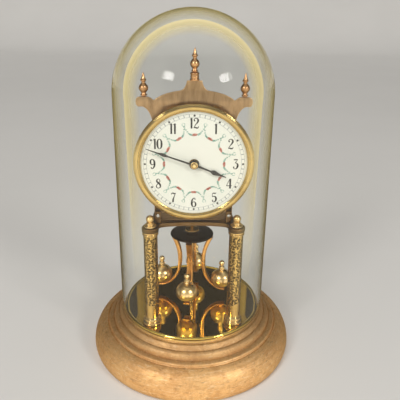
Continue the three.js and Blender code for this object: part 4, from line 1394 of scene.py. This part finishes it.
def spiral(offset, steps=220):
    """Archimedean spiral of the mainspring, moved outwards by the offset."""
    points = []
    for i in range(steps + 1):
        a = 2 * math.pi * SPRING_TURNS * i / steps
        r = SPRING_R[0] + (SPRING_R[1] - SPRING_R[0]) * i / steps + offset
        points.append((r * math.cos(a), r * math.sin(a)))
    return points


def make_barrel():
    drum = [(16.2, -24), (16.2, -8), (14.8, -8), (14.8, -23.4), (14.8, -24)]
    parts = [
        lathe_y("drum_wall", drum, BARREL, 96, 0.2, closed=True),
        wheel("drum_teeth", BARREL_TEETH, BARREL_MODULE, BARREL_PHASE, BARREL, -25.4, -23.4, 3.4),
    ]
    stands_for(merged("spring_barrel", parts), WHEEL_BRASS, "barrel")
    coil = sheet("coiled_spring", [spiral(SPRING_T) + spiral(0)[::-1]], -22.8, -9, bevel=0.1, at=BARREL)
    stands_for(coil, FLAT_STEEL, "mainspring")
    post = [(0, -31.3), (2.1, -31.3), (2.1, -27), (3.1, -27), (3.1, -6), (2.1, -6), (2.1, 3), (0, 3)]
    x, z = BARREL
    square = block("key_square", (x - 1.45, x + 1.45), (2.5, 8), (z - 1.45, z + 1.45), 0.2)
    key_post = merged("winding_post", [lathe_y("winding_shaft", post, BARREL, 40, 0.2), square])
    stands_for(key_post, STEEL, "winding_arbor")
    loops = [saw_loop(18, 7.5, 6.3), circle(0, 0, 2.4, 28)]
    stands_for(sheet("ratchet_cut", loops, 0.4, 1.8, bevel=0.08, at=BARREL), FLAT_STEEL, "ratchet_wheel")
    lever = [
        (-15.8, 185.2), (-15, 184.2), (-13, 184), (-7.5, 184.4), (-8.4, 186.2), (-12.6, 187.8),
        (-14.4, 187.9), (-15.7, 187),
    ]
    pawl = merged("click_pawl", [
        sheet("pawl_lever", [softened(lever, 0.6, 3, closed=True)], 0.4, 1.8, bevel=0.12),
        rod("pawl_pin", CLICK, ARBOR_R, -2.2, 2.2),
    ])
    stands_for(pawl, STEEL, "click")
    spring = [(-22, 192), (-8.5, 192), (-8.5, 192.6), (-21.4, 192.6), (-21.4, 196), (-22, 196)]
    stands_for(sheet("click_spring_strip", [spring], 0.3, 1.7, bevel=0.1), FLAT_STEEL, "click_spring")


def make_anchor():
    half = [
        (0, 238.4), (3.2, 237.4), (5.6, 235.4), (7.4, 233.0), (8.4, 230.4), (8.6, 229.6), (6.7, 229.2),
        (6.4, 230.4), (5.6, 232), (4.2, 233.2), (2.4, 233.8),
    ]
    outline = half + [(0, 233.4)] + mirrored(half)[len(half):]
    pin = [(0, 236), (0.45, 236), (0.45, 249.2), (0.3, 249.5), (0, 249.5)]
    parts = [
        sheet("anchor_arms", [outline], -12.2, -10.6, bevel=0.15),
        rod("anchor_arbor", ANCHOR, ARBOR_R, -31.3, 4),
        rod("anchor_crank", ANCHOR, 1.4, 2.2, 4.6),
        lathe("anchor_pin", pin, (ANCHOR[0], 3.4, 0), segments=24, soften=0.08),
    ]
    stands_for(merged("anchor_and_pin", parts), STEEL, "anchor")


# ------------------------------------------------------------------ suspension
def make_suspension():
    y = PEND[1]
    foot = [
        (-9, 240.8), (-8.6, 240.4), (8.6, 240.4), (9, 240.8), (9, 245.4), (8.6, 245.8), (4.4, 245.8),
        (4, 246.2), (4, 261), (-4, 261), (-4, 246.2), (-4.4, 245.8), (-8.6, 245.8), (-9, 245.4),
    ]
    parts = [
        sheet("hanger_back", [foot], 0.3, 2.1, bevel=0.2),
        block("hanger_arm", (-4, 4), (0.3, 12), (258.6, 261), 0.4),
    ]
    stands_for(merged("suspension_hanger", parts), PLATE_BRASS, "suspension_bracket")
    for side, x in (("left", -6.5), ("right", 6.5)):
        screw_head(f"hanger_screw_{side}", (x, 243.1), 2.1 + PRESS, 1.6, 1.0, 40 + x * 6)
    clamp = ((-2.5, 2.5), (y - 1.6, y + 1.6))
    top = block("suspension_clamp_top", *clamp, (252.8, 258.3), 0.35)
    stands_for(top, PLATE_BRASS, "suspension_block_top")
    strip = block("suspension_ribbon", (-0.6, 0.6), (y - 0.1, y + 0.1), (133, 252.5), 0.04, 1)
    stands_for(strip, FLAT_STEEL, "suspension_spring")
    bottom = block("suspension_clamp_bottom", *clamp, (127.6, 132.7), 0.35)
    stands_for(bottom, PLATE_BRASS, "suspension_block_bottom")
    outline = [
        (-1.7, 2.3), (-0.85, 2.3), (-0.85, 6.3), (0.85, 6.3), (0.85, 2.3), (1.7, 2.3), (2.6, 8), (2.6, 10),
        (1.4, 11.4), (-1.4, 11.4), (-2.6, 10), (-2.6, 8),
    ]
    fork = sheet("fork_tines", [outline, circle(0, y, 1, 24)], 246, 248, upright=False, bevel=0.15)
    stands_for(fork, PLATE_BRASS, "suspension_fork")


# ------------------------------------------------------------------ pendulum
PEND_TURN = -10  # degrees
BALL_ORBIT = 31
BALL_Z = 67.1
BALL_R = 10.6
BALL_HALF_H = 9.6
ARM_W = 6.0
ARM_T = 3.8
ARM_TIP_T = 1.8


def make_arm(number, angle):
    """Bar bent in the plane of the axis, with rounded edges, thinner towards its foot."""
    path = [
        (19.4, 113.5), (17.4, 109.5), (14.9, 103.5), (12.9, 96.5), (12, 89), (12, 82), (13.2, 74), (16, 67),
        (20, 61.4), (25.2, 57.2), (29.5, 55.3), (34.5, 55),
    ]
    line = flowing(path, 6)
    half_w = ARM_W / 2
    bm = bmesh.new()
    rings = []
    for i, point in enumerate(line):
        ahead = line[min(i + 1, len(line) - 1)] - line[max(i - 1, 0)]
        side = Vector((-ahead.y, ahead.x)).normalized()
        share = min(max((i / (len(line) - 1) - 0.35) / 0.5, 0), 1)
        half_t = (ARM_T + (ARM_TIP_T - ARM_T) * share * share * (3 - 2 * share)) / 2
        corners = [(-half_w, -half_t), (half_w, -half_t), (half_w, half_t), (-half_w, half_t)]
        section = softened(corners, 1.3, 5, closed=True)
        rings.append([dot(bm, point.x + side.x * v, u, point.y + side.y * v) for u, v in section])
    skin(bm, rings, caps=True)
    name = f"curved_arm_{number}"
    arm = new_object(name, mesh_from(bm, name), (*PEND, 0), Matrix.Rotation(angle, 3, "Z"))
    stands_for(arm, ARM_COPPER, f"pendulum_arm_{number}")


def make_ball(number, angle):
    profile = [(0, 56.4), (2, 56.4), (2.3, 56.9), (2.2, 57.6), (2.6, 57.9)]
    for degrees in range(-72, 79, 6):
        a = math.radians(degrees)
        profile.append((BALL_R * math.cos(a), BALL_Z + BALL_HALF_H * math.sin(a)))
    profile += [
        (1.9, 76.8), (1.6, 77.2), (1.9, 77.6), (2.5, 78.1), (2.8, 78.9), (2.8, 79.7), (2.5, 80.5),
        (1.9, 81.1), (1.5, 81.5), (1.7, 81.9), (2.3, 82.6), (2.7, 83.4), (2.8, 84.3), (2.6, 85.3),
        (2.1, 86.2), (1.2, 86.95), (0, 87.2),
    ]
    x = PEND[0] + BALL_ORBIT * math.cos(angle)
    y = PEND[1] + BALL_ORBIT * math.sin(angle)
    ball = lathe(f"polished_ball_{number}", profile, (x, y, 0), segments=80, soften=0.08)
    stands_for(ball, BALL_BRASS, f"pendulum_ball_{number}")


def make_pendulum():
    rod_profile = [
        (0, 47.6), (0.6, 47.8), (1, 48.4), (1, 52), (1.9, 52.5), (2.4, 53.2), (2.6, 54.6), (2.6, 56),
        (2.1, 56.9), (1.9, 57.4), (1.9, 79), (2.5, 79.5), (3, 80.4), (3, 83.2), (2.5, 84.1), (1.9, 84.6),
        (1.9, 110), (2.6, 110.5), (3.4, 111.4), (3.4, 114.5), (1.7, 114.5), (1.7, 124), (2.4, 124.5),
        (2.6, 125.2), (2.6, 127.3), (0, 127.3),
    ]
    stem = lathe("turned_stem", rod_profile, (*PEND, 0), segments=48, soften=0.2)
    stands_for(stem, BRASS, "pendulum_rod")
    disc = [
        (2, 114.8), (20.6, 114.8), (21.2, 115.1), (21.4, 115.6), (21.2, 116.1), (20.8, 116.4), (14, 116.6),
        (9, 116.8), (7.2, 117.2), (6.4, 117.9), (5.8, 118.2), (2, 118.2),
    ]
    crown = lathe("pendulum_crown", disc, (*PEND, 0), segments=96, soften=0.2, closed=True)
    # The crown takes the darkened brass: painted shade.
    stands_for(crown, SHADED_CROWN, "pendulum_top_plate")
    stands_for(knurled_disc("regulator_disc", 2, 7, 118.5, 120.7), BRASS, "rating_disc")
    for i in range(4):
        angle = math.radians(PEND_TURN - 90 + i * 90)
        make_arm(i + 1, angle)
        make_ball(i + 1, angle)


def knurled_disc(name, bore, radius, bottom, top, ridges=48):
    outline = []
    for i in range(ridges * 2):
        a = math.pi * i / ridges
        r = radius - (0.22 if i % 2 else 0)
        outline.append((r * math.cos(a), r * math.sin(a)))
    loops = [outline, circle(0, 0, bore, 32)]
    return sheet(name, loops, bottom, top, upright=False, bevel=0.2, at=PEND, angle=30)


# ------------------------------------------------------------------ dome
DOME_T = 1.6


def make_dome():
    shoulder = DOME_TOP - DOME_R
    inner = DOME_R - DOME_T
    profile = arc(0, shoulder, inner, 90, 0, 40)
    profile[0] = (0, shoulder + inner)
    profile += [(inner, z) for z in np.linspace(shoulder, DOME_RIM + 0.8, 14)[1:]]
    profile += arc(DOME_R - DOME_T / 2, DOME_RIM + 0.8, DOME_T / 2, 180, 360, 8)[1:-1]
    profile += [(DOME_R, z) for z in np.linspace(DOME_RIM + 0.8, shoulder, 14)]
    profile += arc(0, shoulder, DOME_R, 0, 90, 40)[1:]
    profile[-1] = (0, DOME_TOP)
    dome = lathe("blown_dome", profile, ORIGIN, segments=160, soften=0)
    stands_for(dome, GLASS, "glass_dome")


# ------------------------------------------------------------------ floor and light
FLOOR_Z = -0.05  # just under the base


def make_floor():
    """Level floor, and a backdrop that rises from it far behind so that no edge shows. Polished
    brass sees the backdrop but not the floor."""
    level = [(-6.0, 0.0), (-3.0, 0.0), (0.0, 0.0), (1.6, 0.0), (3.0, 0.0)]
    paint = floor_paint()
    for name, path in (("floor", level), ("backdrop", arc(3.0, 1.1, 1.1, -90, 0, 24))):
        bm = bmesh.new()
        rows = [[bm.verts.new((x, y, z)) for x in (-9, -3, 3, 9)] for y, z in path]
        for one, two in zip(rows, rows[1:]):
            for i in range(3):
                bm.faces.new((one[i], one[i + 1], two[i + 1], two[i]))
        surface = new_object(name, mesh_from(bm, name), (0, 0, FLOOR_Z))
        surface.data.materials.append(paint)
        surface.visible_glossy = name == "backdrop"


def aim(obj, at, target):
    obj.location = at
    obj.rotation_euler = (Vector(target) - Vector(at)).to_track_quat("-Z", "Y").to_euler()


def add_lamp(name, kind, watts, at, target):
    data = bpy.data.lights.new(name, kind)
    data.energy = watts
    lamp = bpy.data.objects.new(name, data)
    bpy.context.scene.collection.objects.link(lamp)
    aim(lamp, at, target)
    return lamp


def add_panel(name, at, watts):
    """Soft rectangular lamp that looks at the dial's height."""
    data = add_lamp(name, "AREA", watts, at, (0, -0.03, 0.2)).data
    data.shape = "RECTANGLE"
    data.size, data.size_y = PANEL_SIZE
    data.color = PANEL_COLOUR


# Light of the room by direction: from in front (0) to behind (1), and from below (0) to overhead (1).
WORLD_DEPTH = (
    (0.0, (1.55, 1.45, 1.30)), (0.22, (1.20, 1.12, 1.00)), (0.50, (0.80, 0.76, 0.68)),
    (0.80, (0.080, 0.062, 0.030)),
)
WORLD_RISE = (
    (0.0, (0.85, 0.80, 0.72)), (0.22, (0.95, 0.91, 0.84)), (0.40, (1.0, 0.97, 0.93)),
    (0.50, (0.75, 0.74, 0.72)), (0.60, 0.32), (0.9, 0.20),
)
WORLD_TOP = ((0.90, 0.0), (0.985, (0.75, 0.72, 0.66)))
PANEL_SIZE = (0.46, 0.34)
PANEL_COLOUR = (1.0, 0.97, 0.93)


def make_world():
    """Room light: the depth and rise gradients multiplied, plus a soft patch overhead."""
    world = bpy.data.worlds.new("studio")
    bpy.context.scene.world = world
    world.use_nodes = True
    tree = world.node_tree
    place = tree.nodes.new("ShaderNodeTexCoord")
    parts = tree.nodes.new("ShaderNodeSeparateXYZ")
    tree.links.new(place.outputs["Generated"], parts.inputs[0])

    def gradient(axis, stops):
        spread = tree.nodes.new("ShaderNodeMapRange")
        spread.inputs["From Min"].default_value = -1
        tree.links.new(parts.outputs[axis], spread.inputs["Value"])
        ramp = tree.nodes.new("ShaderNodeValToRGB")
        tree.links.new(spread.outputs[0], ramp.inputs[0])
        fill_ramp(ramp, stops)
        return ramp.outputs[0]

    def combined(kind, one, two):
        made = tree.nodes.new("ShaderNodeMix")
        made.data_type = "RGBA"
        made.blend_type = kind
        made.inputs["Factor"].default_value = 1
        tree.links.new(one, made.inputs[6])
        tree.links.new(two, made.inputs[7])
        return made.outputs[2]

    room = combined("MULTIPLY", gradient(1, WORLD_DEPTH), gradient(2, WORLD_RISE))
    whole = combined("ADD", room, gradient(2, WORLD_TOP))
    tree.links.new(whole, tree.nodes["Background"].inputs[0])


def make_light():
    make_world()
    sun = add_lamp("soft_daylight", "SUN", 1.15, (-0.35, -0.8, 1.5), (0, 0, 0.1))
    sun.data.angle = math.radians(35)
    sun.visible_glossy = False
    add_panel("panel_left", (-1.12, -1.44, 1.24), 15)
    add_panel("panel_right", (1.28, -1.37, 1.15), 14)
    bpy.context.scene.view_settings.view_transform = "Standard"


# ------------------------------------------------------------------ build
make_camera()
make_base()
for column_side in COLUMNS:
    make_column(column_side)
make_platform()
make_front_plate()
make_back_plate()
make_pillars()
make_brackets()
make_finials()
make_dial()
make_hands()
make_train()
make_barrel()
make_anchor()
make_suspension()
make_pendulum()
make_dome()
make_floor()
make_light()
